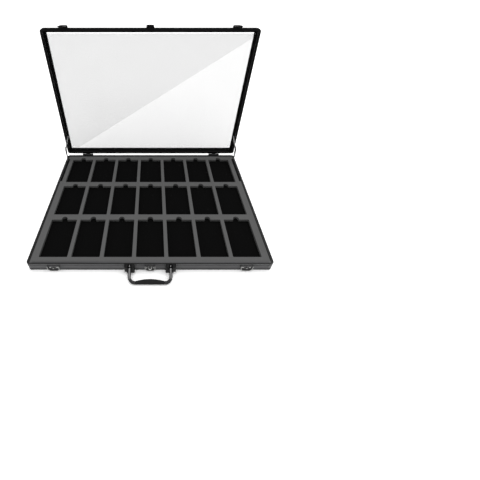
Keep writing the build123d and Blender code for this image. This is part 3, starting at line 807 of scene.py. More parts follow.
@dataclass(frozen=True)
class Rounding:
    """How the edges of a CAD node's copy are rounded."""

    width_mm: float
    segments: int = 2
    edge_deg: float = 35.0
    sharp_deg: float = 40.0

    def applied(self, node: str, body: str, slot: str, material: bpy.types.Material) -> bpy.types.Object:
        """Stand in for a CAD node with a copy of it whose edges are rounded.

        Args:
            node: the CAD node.
            body: the body that it rides on.
            slot: the material slot; not used.
            material: the material.

        Returns:
            The rounded piece.
        """
        made = added(f"{node}_rounded", merged(node))
        bevel = made.modifiers.new("rounding", "BEVEL")
        bevel.width = self.width_mm * MM
        bevel.segments = self.segments
        bevel.limit_method = "ANGLE"
        bevel.angle_limit = math.radians(self.edge_deg)
        bevel.use_clamp_overlap = True
        shaped = bpy.data.meshes.new_from_object(made.evaluated_get(bpy.context.evaluated_depsgraph_get()))
        made.modifiers.clear()
        made.data = shaped
        eased(shaped, self.sharp_deg, material)
        return fit(made, body, node)


def dressed(node: str, material: bpy.types.Material) -> None:
    """Give a CAD node that stays a better material.

    Args:
        node: the CAD node.
        material: what every face of it gets.
    """
    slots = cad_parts[node].data.materials
    for index in range(len(slots)):
        slots[index] = material
    if len(slots) == 0:
        slots.append(material)
    LOG.info("%s: kept from the solids", node)


def resampled(points: np.ndarray, count: int) -> np.ndarray:
    """Points at equal steps along a polyline, its two ends kept.

    Args:
        points: corner points of the polyline.
        count: how many steps.

    Returns:
        count + 1 points.
    """
    steps = np.linalg.norm(np.diff(points, axis=0), axis=1)
    along = np.concatenate([[0.0], np.cumsum(steps)])
    wanted = np.linspace(0.0, along[-1], count + 1)
    return np.stack([np.interp(wanted, along, column) for column in points.T], axis=1)


def subdivided(lines: Sequence[float], count: int) -> np.ndarray:
    """Points at equal steps between neighbouring values, the values kept."""
    parts = [np.linspace(a, b, count + 1)[:-1] for a, b in zip(lines, lines[1:])]
    return np.concatenate(parts + [[lines[-1]]])


def around(count: int) -> np.ndarray:
    """Equal steps round a full turn, in radians, without the last."""
    return np.linspace(0.0, 2.0 * math.pi, count + 1)[:-1]


def quarter(steps: int) -> np.ndarray:
    """Equal steps of a quarter turn, in radians, with both ends."""
    return np.radians(np.linspace(0.0, 90.0, steps + 1))


@dataclass
class FoamLayers:
    """Grey foam cut through for the slabs, and the black foam that they lie on."""

    sizes: CaseSizes
    columns: int = 7
    rows: int = 3
    side_steps: int = 36
    straight_steps: int = 12
    notch_steps: int = 24
    face_rings: tuple = (0.0, 0.45, 0.8, 1.0)
    cut_round: float = 0.9
    pocket_corner: float = 1.4
    wall_bulge: float = 0.12
    row_split: float = 16.5
    slit_w: float = 7.0
    slit_front: float = 92.75
    slit_back: float = 232.05
    slit_seam: float = 0.02
    swell: float = 0.12
    waves: tuple = (37.0, 29.0, 13.0, 17.0)
    # How far below the face the painted shade of the cut walls starts, in the grey foam and in the black
    # foam.
    top_wall_drop: float = 0.7
    bed_wall_drop: float = 1.0
    top_strip_steps: tuple = (3, 40)
    bed_strip_steps: tuple = (2, 24)
    bed_steps: tuple = (140, 98)
    sharp_deg: float = 40.0

    @property
    def end_steps(self) -> int:
        """Steps along the front or the back of a pocket's cell."""
        return 2 * self.straight_steps + self.notch_steps

    @property
    def inner(self) -> tuple:
        """Half the width and half the depth of the foams."""
        edge = self.sizes.rail_w + self.sizes.soft_gap
        return self.sizes.width / 2 - edge, self.sizes.depth / 2 - edge

    @property
    def slit_x(self) -> float:
        """Distance from the middle plane to the near side of a slit."""
        return self.sizes.width / 2 - self.sizes.rail_w - self.slit_w

    def skin(self, x: np.ndarray, y: np.ndarray) -> np.ndarray:
        """Faint rise and fall of the foam's face: sines of x and y of long and of shorter waves.

        Args:
            x: places along x.
            y: places along y.

        Returns:
            The rise at each place, at most the swell.
        """
        long_x, long_y, short_x, short_y = self.waves
        broad = np.sin(x / long_x + 0.7) * np.sin(y / long_y + 1.3)
        return self.swell * (broad + 0.5 * np.sin(x / short_x) * np.sin(y / short_y)) / 1.5

    def pocket_outline(self) -> np.ndarray:
        """Outline of a pocket with its thumb notch, counterclockwise from the front left corner.

        Straight runs and quarter circles at the corners, and at the back a half circle on two
        short straights. Each of the four sides has a fixed number of steps.

        Returns:
            Points as x and y about the pocket's middle.
        """
        half_w, half_l, round_r = self.sizes.pocket_w / 2, self.sizes.pocket_l / 2, self.pocket_corner
        notch_r = self.sizes.notch_w / 2
        notch_y = half_l + self.sizes.notch_l - notch_r

        def corner(sign_x: int, sign_y: int, start: float) -> np.ndarray:
            """Half of a corner's quarter circle.

            Args:
                sign_x: -1 for a corner at the left, 1 at the right.
                sign_y: -1 for a corner in front, 1 at the back.
                start: angle in degrees at which the half starts.

            Returns:
                Its four points.
            """
            turn = np.radians(start + np.linspace(0.0, 45.0, 4))
            centre = np.array([sign_x * (half_w - round_r), sign_y * (half_l - round_r)])
            return centre + round_r * np.stack([np.cos(turn), np.sin(turn)], axis=1)

        turn = np.linspace(0.0, math.pi, 25)
        arch = np.stack([notch_r * np.cos(turn), notch_y + notch_r * np.sin(turn)], axis=1)
        mouth_right, mouth_left = np.array([[notch_r, half_l]]), np.array([[-notch_r, half_l]])
        sides = (
            ([corner(-1, -1, 225.0), corner(1, -1, 270.0)], self.end_steps),
            ([corner(1, -1, 315.0), corner(1, 1, 0.0)], self.side_steps),
            ([corner(1, 1, 45.0), mouth_right], self.straight_steps),
            ([mouth_right, arch, mouth_left], self.notch_steps),
            ([mouth_left, corner(-1, 1, 90.0)], self.straight_steps),
            ([corner(-1, 1, 135.0), corner(-1, -1, 180.0)], self.side_steps),
        )
        return np.concatenate([resampled(np.concatenate(parts), steps)[:-1] for parts, steps in sides])

    def cell_outline(self, x0: float, x1: float, y0: float, y1: float) -> np.ndarray:
        """Rectangle around a pocket with as many steps on each side as the pocket's outline.

        Args:
            x0: its left side.
            x1: its right side.
            y0: its front.
            y1: its back.

        Returns:
            Points as x and y, counterclockwise from the front left corner.
        """
        corners = np.array([[x0, y0], [x1, y0], [x1, y1], [x0, y1], [x0, y0]])
        counts = (self.end_steps, self.side_steps) * 2
        sides = zip(corners, corners[1:], counts)
        return np.concatenate([np.linspace(start, end, count + 1)[:-1] for start, end, count in sides])

    def cell(self, surface: Surface, centre: tuple, bounds: tuple, low: float, high: float) -> None:
        """Add the foam around one pocket.

        Rings run from the cell's rectangle to the pocket's edge, over a quarter circle, down
        the cut wall, and back below to the rectangle.

        Args:
            surface: where the rings go.
            centre: the pocket's middle.
            bounds: the cell's x and y limits.
            low: underside of the foam.
            high: face of the foam.
        """
        wall = self.pocket_outline() + np.array(centre)
        border = self.cell_outline(*bounds)
        tangent = np.roll(wall, -1, axis=0) - np.roll(wall, 1, axis=0)
        tangent /= np.linalg.norm(tangent, axis=1, keepdims=True)
        outward = np.stack([tangent[:, 1], -tangent[:, 0]], axis=1)
        lip = wall + outward * self.cut_round
        rings = []
        for share in self.face_rings:
            flat = border + (lip - border) * share
            rings.append(np.column_stack([flat, high + self.skin(flat[:, 0], flat[:, 1])]))
        for turn in quarter(4)[1:]:
            flat = wall + outward * self.cut_round * (1.0 - math.sin(turn))
            drop = self.cut_round * (1.0 - math.cos(turn))
            rings.append(np.column_stack([flat, high - drop + self.skin(flat[:, 0], flat[:, 1]) * 0.5]))
        for share in (0.5, 1.0):
            bulge = outward * self.wall_bulge * math.sin(math.pi * share)
            depth = (high - self.cut_round) * (1.0 - share) + low * share
            rings.append(np.column_stack([wall + bulge, np.full(len(wall), depth)]))
        rings.append(np.column_stack([border, np.full(len(wall), low)]))
        surface.grid(np.stack(rings), wrap_columns=True)

    def wall(self, surface: Surface, x: np.ndarray, y: np.ndarray, low: float, high: float) -> None:
        """Add an upright strip under a line on the foam's face."""
        top = np.column_stack([x, y, high + self.skin(x, y)])
        surface.grid(np.stack([top, np.column_stack([x, y, np.full_like(x, low)])]))

    def slab(self, surface: Surface, x_range: tuple, y_range: tuple, low: float, high: float,
             steps: tuple) -> None:
        """Add a closed slab whose face follows the foam's skin.

        Args:
            surface: where it goes.
            x_range: its two x limits.
            y_range: its two y limits.
            low: underside.
            high: face.
            steps: how many steps along x and y.
        """
        x, y = np.meshgrid(np.linspace(*x_range, steps[0] + 1), np.linspace(*y_range, steps[1] + 1))
        top = np.stack([x, y, high + self.skin(x, y)], axis=-1)
        foot = np.stack([x, y, np.full_like(x, low)], axis=-1)
        surface.grid(top)
        surface.grid(foot)
        for line in (np.s_[0, :], np.s_[-1, :], np.s_[:, 0], np.s_[:, -1]):
            surface.grid(np.stack([top[line], foot[line]]))

    def beside_slits(self, surface: Surface, low: float, high: float, steps: tuple) -> None:
        """Add the four slabs in front of and behind the two slits.

        Args:
            surface: where they go.
            low: their underside.
            high: their face.
            steps: how many steps along x and y.
        """
        inner_x, inner_y = self.inner
        for side in (-1, 1):
            x_range = side * (self.slit_x + self.slit_seam), side * inner_x
            for y_range in ((-inner_y, self.slit_front), (self.slit_back, inner_y)):
                self.slab(surface, x_range, y_range, low, high, steps)

    def build_top(self) -> None:
        """Build the grey foam: a cell for each pocket, closed at the outside, and the slabs."""
        s = self.sizes
        low, high = s.foam_top - s.pocket_depth + s.soft_gap, s.foam_top - self.swell
        inner_y = self.inner[1]
        pitch_x, pitch_y = s.pocket_w + s.rib_w, s.pocket_l + s.bar_w
        first_x = -(self.columns - 1) * pitch_x / 2
        first_y = -s.depth / 2 + s.rail_w + s.front_border + s.pocket_l / 2
        split_x = [first_x + (k + 0.5) * pitch_x for k in range(self.columns - 1)]
        split_y = [first_y + k * pitch_y + s.pocket_l / 2 + self.row_split for k in range(self.rows - 1)]
        x_lines, y_lines = [-self.slit_x, *split_x, self.slit_x], [-inner_y, *split_y, inner_y]
        surface = Surface()
        for row in range(self.rows):
            for column in range(self.columns):
                centre = (first_x + column * pitch_x, first_y + row * pitch_y)
                bounds = (x_lines[column], x_lines[column + 1], y_lines[row], y_lines[row + 1])
                self.cell(surface, centre, bounds, low, high)
        x, y = subdivided(x_lines, self.end_steps), subdivided(y_lines, self.side_steps)
        for end in (y_lines[0], y_lines[-1]):
            self.wall(surface, x, np.full_like(x, end), low, high)
        for side in (x_lines[0], x_lines[-1]):
            self.wall(surface, np.full_like(y, side), y, low, high)
        self.beside_slits(surface, low, high, self.top_strip_steps)
        material = TOP_FOAM.material(s.foam_top - self.top_wall_drop)
        piece = surface.moved(s.centred).piece("foam_insert_cut", material, self.sharp_deg)
        fit(piece, "base", "foam_insert")

    def build_bed(self) -> None:
        """Build the black foam below the pockets, around the slits."""
        s = self.sizes
        low = s.lip_t + s.board_t + s.soft_gap
        high = s.foam_top - s.pocket_depth - self.swell
        inner_y = self.inner[1]
        surface = Surface()
        self.slab(surface, (-self.slit_x, self.slit_x), (-inner_y, inner_y), low, high, self.bed_steps)
        self.beside_slits(surface, low, high, self.bed_strip_steps)
        material = BED_FOAM.material(s.foam_top - s.pocket_depth - self.bed_wall_drop)
        piece = surface.moved(s.centred).piece("foam_bed", material, self.sharp_deg)
        fit(piece, "base", "pocket_floor_foam")

    def build(self) -> None:
        """Build both layers."""
        self.build_bed()
        self.build_top()


class Part(Enum):
    """The two halves of the case."""

    BASE = "base"
    LID = "lid"


@dataclass
class Frames:
    """Extruded rails and cast corners of the base and of the lid."""

    sizes: CaseSizes
    rib_pitch: float = 2.2
    rib_depth: float = 0.32
    rib_shares: tuple = (0.15, 0.65, 0.75, 0.97)
    rib_low_gap: float = 1.0
    rib_high_gap: float = 0.8
    end_gap: float = 0.22
    groove_d: float = 1.0
    groove_w: float = 3.0
    groove_lip: float = 0.3
    groove_step: float = 0.25
    base_grooves: tuple = (5.0, 25.0)
    base_lip_w: float = 6.0
    lid_groove: float = 2.5
    flange_w: float = 15.0
    flange_t: float = 5.0
    sheet_t: float = 3.2
    sheet_hold: float = 1.2
    ledge_w: float = 11.0
    ledge_t: float = 2.4
    edge_round: float = 4.0
    near_share: float = 0.3
    soft_edge: float = 0.5
    top_edge: float = 0.6
    rim_edge: float = 0.4
    flange_edge: tuple = (0.8, 0.2, 0.25)
    corner_fill: float = 1.0
    # Painted shade on the base rails' top, foot and grooves, and a painted highlight on the front rail's
    # inner top:
    painted_rim_shade: float = 2.4
    painted_foot_shade: float = 1.6
    painted_foot_share: float = 0.3
    groove_shade_shares: tuple = (0.45, 0.4)
    highlight_insets: tuple = (3.5, 12.0)
    highlight_lift: float = 1.1
    highlight_share: float = 0.9
    rail_sharp_deg: float = 25.0
    corner_sharp_deg: float = 30.0

    def ribs(self, low: float, high: float) -> list:
        """Fine ribs on the outer face between two heights.

        Args:
            low: where they start.
            high: where they end.

        Returns:
            For each rib two points of its crest and two of the trough, all softly joined.
        """
        count = max(int((high - low) / self.rib_pitch), 1)
        pitch = (high - low) / count
        insets = (0.0, 0.0, self.rib_depth, self.rib_depth)
        return [(inset, low + (k + share) * pitch) for k in range(count)
                for inset, share in zip(insets, self.rib_shares)]

    def groove(self, low: float) -> list:
        """A groove in the outer face from a height up, with softened lips.

        Args:
            low: its lower edge.

        Returns:
            The points of its section.
        """
        high, d, lip, step = low + self.groove_w, self.groove_d, self.groove_lip, self.groove_step
        below = [(0.0, low - lip), (step, low), (d, low + lip / 2)]
        return below + [(d, high - lip / 2), (step, high), (0.0, high + lip)]

    def softened(self, inset: float, height: float, in_sign: int, up_sign: int, size: float) -> list:
        """Three points round a right corner of the section.

        Args:
            inset: the corner's inset.
            height: the corner's height.
            in_sign: 1 or -1, the way from the corner along its level side.
            up_sign: 1 or -1, the way along its upright side.
            size: how far from the corner the rounding starts.

        Returns:
            The points, from the level side to the upright one.
        """
        near = self.near_share * size
        return [(inset + in_sign * size, height), (inset + in_sign * near, height + up_sign * near),
                (inset, height + up_sign * size)]

    def base_section(self, fine: bool) -> np.ndarray:
        """Section of the base rail as (inset from the outer face, height), from the outer foot up.

        Args:
            fine: whether the outer face has its fine ribs.

        Returns:
            The closed outline without its last point.
        """
        s = self.sizes
        low, high = self.base_grooves
        line = self.softened(0.0, 0.0, 1, 1, self.soft_edge)
        line += self.groove(low)
        line += self.ribs(low + self.groove_w + self.rib_low_gap, high - self.rib_high_gap) if fine else []
        line += self.groove(high)
        line += self.softened(0.0, s.base_h, 1, -1, self.top_edge)[::-1]
        line += self.softened(s.rail_w, s.base_h, -1, -1, self.soft_edge)
        lip = s.rail_w + self.base_lip_w
        return np.array(line + [(s.rail_w, s.lip_t), (lip, s.lip_t), (lip, 0.0)])

    def lid_section(self, fine: bool) -> np.ndarray:
        """Section of the closed lid's rail, with the rounded outer top edge and the sheet's channel.

        Args:
            fine: whether the outer face has its fine ribs.

        Returns:
            The closed outline without its last point.
        """
        s = self.sizes
        rim, top, r, flange = s.lid_z, s.lid_z + s.lid_h, self.edge_round, self.flange_w
        sheet_top = top - self.flange_t
        sheet_low = sheet_top - self.sheet_t
        ledge_low, groove_low = sheet_low - self.ledge_t, rim + self.lid_groove
        line = self.softened(0.0, rim, 1, 1, self.rim_edge)
        line += self.groove(groove_low)
        ribs_low = groove_low + self.groove_w + self.rib_low_gap
        line += self.ribs(ribs_low, top - r - self.rib_high_gap) if fine else []
        line += [(r - r * math.cos(a), top - r + r * math.sin(a)) for a in quarter(8)]
        edge, near_in, near_down = self.flange_edge
        line += [(flange - edge, top), (flange - near_in, top - near_down), (flange, top - edge)]
        channel, ledge = s.rail_w - self.sheet_hold, self.ledge_w
        line += [(flange, sheet_top), (channel, sheet_top), (channel, sheet_low), (ledge, sheet_low)]
        line += [(ledge, ledge_low), (s.rail_w, ledge_low), (s.rail_w, rim + self.rim_edge)]
        line += [(s.rail_w - self.rim_edge, rim)]
        return np.array(line)

    def section(self, part: Part, fine: bool) -> np.ndarray:
        """Section of one half of the case."""
        return self.base_section(fine) if part is Part.BASE else self.lid_section(fine)

    def shrunk(self, section: np.ndarray) -> np.ndarray:
        """The section drawn in a little on its outer side and in its height, for a softened end.

        Args:
            section: the full section.

        Returns:
            The smaller one.
        """
        inset, height = section.T
        middle, top = (height.min() + height.max()) / 2, height.max()
        drawn_in = inset + self.end_gap * np.clip(1.0 - inset / self.sizes.rail_w, 0.0, 1.0)
        lower = 1.0 - 0.5 * self.end_gap / (top - middle)
        return np.stack([drawn_in, middle + (height - middle) * lower], axis=1)

    def rail(self, part: Part, side: str) -> Surface:
        """A rail: its section carried along a straight line, drawn in at both ends.

        Args:
            part: base or lid.
            side: front, back, left or right.

        Returns:
            The closed surface.
        """
        s = self.sizes
        along_x = side in ("front", "back")
        half = (s.width if along_x else s.depth) / 2 - s.corner_len
        full, near = self.section(part, True), half - self.end_gap
        small = self.shrunk(full)
        stations = ((-half, small), (-near, full), (near, full), (half, small))
        sign = 1.0 if side in ("back", "right") else -1.0
        reach = (s.depth if along_x else s.width) / 2
        rows = []
        for place, section in stations:
            across = sign * (reach - section[:, 0])
            along = np.full(len(section), place)
            pair = (along, across) if along_x else (across, along)
            rows.append(np.column_stack([*pair, section[:, 1]]))
        return Surface().grid(np.stack(rows), wrap_columns=True, caps=True)

    def corner(self, part: Part, sign_x: int, sign_y: int) -> Surface:
        """A corner: the section carried round the case's corner.

        A point that is inset by a goes straight, then round a circle whose radius is the
        corner's less a, or at larger insets turns in one point, and straight again.

        Args:
            part: base or lid.
            sign_x: -1 for the left, 1 for the right.
            sign_y: -1 for the front, 1 for the back.

        Returns:
            The closed surface.
        """
        s = self.sizes
        section = self.section(part, False)
        section[:, 0] = np.minimum(section[:, 0], s.corner_len - self.corner_fill)
        inset, height = section.T
        ends = ((s.corner_len, self.shrunk(section)), (s.corner_len - self.end_gap, section))
        rows = [(np.full(len(line), place), line[:, 0], line[:, 1]) for place, line in ends]
        centre, radius = np.maximum(s.corner_r, inset), np.maximum(s.corner_r - inset, 0.0)
        rows += [(centre - radius * math.sin(turn), centre - radius * math.cos(turn), height)
                 for turn in quarter(12)]
        rows += [(line[:, 0], np.full(len(line), place), line[:, 1]) for place, line in ends[::-1]]
        half_w, half_d = s.width / 2, s.depth / 2
        points = [np.column_stack([sign_x * (half_w - u), sign_y * (half_d - v), z]) for u, v, z in rows]
        return Surface().grid(np.stack(points), wrap_columns=True, caps=True)

    def bands(self, part: Part) -> list:
        """Painted shade on the base's top, foot and grooves, and a painted highlight on the front rail's
        inner top; the lid is black all over.

        Args:
            part: base or lid.

        Returns:
            The bands, the last on top.
        """
        if part is Part.LID:
            return []
        s = self.sizes
        low, high = self.base_grooves
        between = Band(0, -1.0, s.width / 2 - s.corner_r, BLACK_AND_PAINTED_SHADE, mirrored=True)
        highlight_low, highlight_high = (s.front_y + inset for inset in self.highlight_insets)
        highlight_colour = tinted(BASE_METAL.colour, self.highlight_lift)
        return [
            # Painted shade: black over the rails' top and the upper edge of their outer face.
            Band(2, s.base_h - self.painted_rim_shade, s.base_h + s.rail_w, BLACK_AND_PAINTED_SHADE),
            # Painted highlight: a lighter strip over the inner part of the front rail's top, stopping short
            # of the corners.
            Band(1, highlight_low, highlight_high, highlight_colour, self.highlight_share, where=between),
            # Painted shade: the rails' foot darkened, as in the contact shadow at the floor.
            Band(2, -s.rail_w, self.painted_foot_shade, BLACK_AND_PAINTED_SHADE, self.painted_foot_share),
            # Painted shade: a dark band from inside the lower groove to above it, and one over the upper
            # groove.
            Band(2, low + 1.0, low + 2 * self.groove_w, BLACK_AND_PAINTED_SHADE, self.groove_shade_shares[0]),
            Band(2, high, high + self.groove_w, BLACK_AND_PAINTED_SHADE, self.groove_shade_shares[1]),
        ]

    def build_piece(self, surface: Surface, part: Part, name: str, suffix: str,
                    material: bpy.types.Material, sharp_deg: float) -> None:
        """Put a rail or corner in its place, the lid's standing open.

        Args:
            surface: the closed surface about the origin.
            part: base or lid.
            name: the CAD node.
            suffix: end of the piece's name.
            material: its material.
            sharp_deg: angle in degrees above which an edge is drawn sharp.
        """
        surface.moved(self.sizes.centred)
        if part is Part.LID:
            surface.moved(self.sizes.opened)
        fit(surface.piece(f"{name}_{suffix}", material, sharp_deg), part.value, name)

    def build(self) -> None:
        """Build all rails and corners."""
        kinds = ((Part.BASE, "base_rail_grey", BASE_METAL, BASE_CORNER, Run.ALONG_Y),
                 (Part.LID, "lid_rail_black", LID_METAL, LID_CORNER, Run.ALONG_Z))
        for part, slot, rail_finish, corner_finish, side_run in kinds:
            bands = self.bands(part)
            cast = corner_finish.material(bands)
            for run, sides in ((Run.ALONG_X, ("front", "back")), (side_run, SIDES)):
                drawn = rail_finish.material(run, bands)
                for side in sides:
                    name = f"{part.value}_{side}_rail"
                    surface = self.rail(part, side)
                    self.build_piece(surface, part, name, "extrusion", drawn, self.rail_sharp_deg)
            for end, sign_y in (("front", -1), ("back", 1)):
                for side, sign_x in zip(SIDES, (-1, 1)):
                    name, sharp = f"{part.value}_corner_{end}_{side}", self.corner_sharp_deg
                    surface = self.corner(part, sign_x, sign_y)
                    self.build_piece(surface, part, name, "cast", cast, sharp)


@dataclass
class RivetHeads:
    """Domed rivet heads with a short shank."""

    radius: float = 2.4
    height: float = 1.2
    rim_h: float = 0.35
    shank_r: float = 1.5
    shank_l: float = 1.0
    steps: int = 24
    sharp_deg: float = 50.0

    def surface(self, seats: np.ndarray, facing: np.ndarray) -> Surface:
        """Revolve one profile at every seat.

        The profile goes from the shank's end out to the rim, up a small cylinder and over a
        quarter ellipse to the middle.

        Args:
            seats: one row of x, y and z for each rivet, in millimetres.
            facing: unit vector out of the seat, square to x.

        Returns:
            The surface of all heads.
        """
        dome = [(self.radius * math.cos(a), self.rim_h + (self.height - self.rim_h) * math.sin(a))
                for a in quarter(6)[:-1]]
        shank = [(0.0, -self.shank_l), (self.shank_r, -self.shank_l), (self.shank_r, 0.0)]
        profile = np.array([*shank, (self.radius, 0.0), *dome, (0.0, self.height)])
        turn, along_x = around(self.steps)[:, None], np.array([1.0, 0.0, 0.0])
        ring = np.cos(turn) * along_x + np.sin(turn) * np.cross(facing, along_x)
        shape = profile[:, 0, None, None] * ring[None] + profile[:, 1, None, None] * facing
        surface = Surface()
        for seat in seats:
            surface.grid(shape + seat, wrap_columns=True)
        return surface


def shell_labels(count: int, edges: np.ndarray) -> np.ndarray:
    """Number the separate shells of a mesh.

    Every point starts with its own number, and points joined by an edge take the lower of
    their two numbers until nothing changes.

    Args:
        count: number of points.
        edges: pairs of joined points.

    Returns:
        For each point the lowest point number of its shell.
    """
    labels = np.arange(count)
    while True:
        lower = np.minimum(labels[edges[:, 0]], labels[edges[:, 1]])
        after = labels.copy()
        np.minimum.at(after, edges[:, 0], lower)
        np.minimum.at(after, edges[:, 1], lower)
        after = after[after]
        if np.array_equal(after, labels):
            return labels
        labels = after


def shell_tops(node: str, facing: np.ndarray) -> np.ndarray:
    """Top middle of each separate shell of a CAD node.

    Args:
        node: the node.
        facing: unit vector; the top is the farthest part of the shell along it.

    Returns:
        One row of x, y and z in millimetres for each shell.
    """
    mesh = merged(node)
    points = np.empty(len(mesh.vertices) * 3)
    mesh.vertices.foreach_get("co", points)
    points = points.reshape(-1, 3) / MM
    edges = np.empty(len(mesh.edges) * 2, dtype=np.int32)
    mesh.edges.foreach_get("vertices", edges)
    labels = shell_labels(len(points), edges.reshape(-1, 2))
    bpy.data.meshes.remove(mesh)
    tops = []
    for label in np.unique(labels):
        shell = points[labels == label]
        low, high = shell.min(axis=0), shell.max(axis=0)
        reach = np.where(facing > 0, high, low)
        tops.append((low + high) / 2 * (1.0 - np.abs(facing)) + reach * np.abs(facing))
    return np.array(tops)


@dataclass
class Fittings:
    """Hinges, stays, latches, hasp and brackets, rounded from their solids."""

    sizes: CaseSizes
    rivets: RivetHeads = field(default_factory=RivetHeads)
    thin: Rounding = Rounding(0.2)
    link: Rounding = Rounding(0.25)
    pin: Rounding = Rounding(0.3)
    leaf: Rounding = Rounding(0.35)
    lever: Rounding = Rounding(0.4)
    catch: Rounding = Rounding(0.45, 3)
    block: Rounding = Rounding(0.6, 3)
    # Where the catches' painted highlight lies, measured out from the case's front face.
    highlight_out: tuple = (9.0, 4.9)

    @staticmethod
    def pair(rounding: Rounding, node: str, body: str, slot: str, material: bpy.types.Material) -> None:
        """Round a node at both sides; {side} in a name stands for left and right."""
        for side in SIDES:
            rounding.applied(node.format(side=side), body.format(side=side), slot, material)

    def rivet_row(self, node: str, body: str, material: bpy.types.Material,
                  facing: Sequence[float]) -> None:
        """Replace a node of rivets by domed heads at the same seats.

        Each separate shell of the node's mesh is one rivet: its heads' tops give the seats.

        Args:
            node: the node of rivets.
            body: the body it rides on.
            material: the material.
            facing: unit vector out of the seats.
        """
        out = np.array(facing)
        surface = self.rivets.surface(shell_tops(node, out) - out * self.rivets.height, out)
        fit(surface.piece(f"{node}_domed", material, self.rivets.sharp_deg), body, node)

    def build_hinges(self) -> None:
        """Round the leaves and set domed rivets."""
        steel = DARK_STEEL.material()
        self.pair(self.leaf, "hinge_base_leaf_{side}", "base", "dark_steel", steel)
        self.pair(self.leaf, "hinge_lid_leaf_{side}", "lid", "dark_steel", steel)
        self.pair(self.pin, "hinge_pin_{side}", "base", "nickel", NICKEL.material())
        self.rivet_row("hinge_rivets_base", "base", steel, (0.0, 1.0, 0.0))
        self.rivet_row("hinge_rivets_lid", "lid", steel, (0.0, 0.0, -1.0))

    def build_stays(self) -> None:
        """Round the links of the stays, their rivets, sleeves and studs."""
        nickel, lower = LINK_NICKEL.material(), "stay_lower_{side}"
        self.pair(self.link, "stay_lower_link_{side}", lower, "nickel", nickel)
        self.pair(self.link, "stay_upper_link_{side}", "stay_upper_{side}", "nickel", nickel)
        self.pair(self.pin, "stay_elbow_rivet_{side}", lower, "nickel", nickel)
        self.pair(self.thin, "stay_sleeve_{side}", lower, "black_plastic", GRIP_PLASTIC.material())
        self.pin.applied("stay_base_studs", "base", "nickel", nickel)
        self.pin.applied("stay_lid_studs", "lid", "nickel", nickel)

    def build_latches(self) -> None:
        """Round the latches, the hasp and their catches, which carry a painted highlight at the front."""
        black, zinc, nickel = BLACK_ZINC.material(), DARK_ZINC.material(), NICKEL.material()
        far, near = (self.sizes.front_y - out for out in self.highlight_out)
        # Painted highlight: a bright slice across the front of each catch, for the light on its rim.
        highlit = CATCH_ZINC.material([Band(1, far, near, PAINTED_HIGHLIGHT, share=0.8, soft_mm=0.15)])
        self.pair(self.block, "latch_block_{side}", "lid", "black_zinc", black)
        self.pair(self.lever, "latch_lever_{side}", "latch_{side}", "dark_zinc", zinc)
        self.pair(self.thin, "latch_pin_{side}", "lid", "nickel", nickel)
        self.pair(self.catch, "latch_catch_{side}", "base", "dark_zinc", highlit)
        self.block.applied("hasp_block", "lid", "black_zinc", black)
        self.lever.applied("hasp_plate", "hasp", "dark_zinc", zinc)
        self.thin.applied("hasp_pin", "lid", "nickel", nickel)
        self.catch.applied("staple_plate", "base", "dark_zinc", highlit)
        dressed("staple_loop", nickel)
        self.rivet_row("catch_rivets", "base", nickel, (0.0, -1.0, 0.0))

    def build_brackets(self) -> None:
        """Round the handle's brackets and set their rivets and pins."""
        self.pair(self.block, "handle_bracket_{side}", "base", "dark_zinc", DARK_ZINC.material())
        self.pin.applied("handle_pins", "base", "nickel", NICKEL.material())
        self.rivet_row("bracket_rivets", "base", BRIGHT_NICKEL.material(), (0.0, -1.0, 0.0))

    def build_panels(self) -> None:
        """Dress the bottom board and the clear sheet."""
        s = self.sizes
        dressed("bottom_panel", BOARD_PLASTIC.material())
        lid_low, margin = s.hinge[1] + s.hinge_offset, Frames(s).flange_w
        opening = (s.width / 2 - margin, lid_low + margin, lid_low + s.depth - margin)
        dressed("lid_window", CLEAR_SHEET.material(*opening))

    def build(self) -> None:
        """Build all fittings."""
        self.build_hinges()
        self.build_stays()
        self.build_latches()
        self.build_brackets()
        self.build_panels()


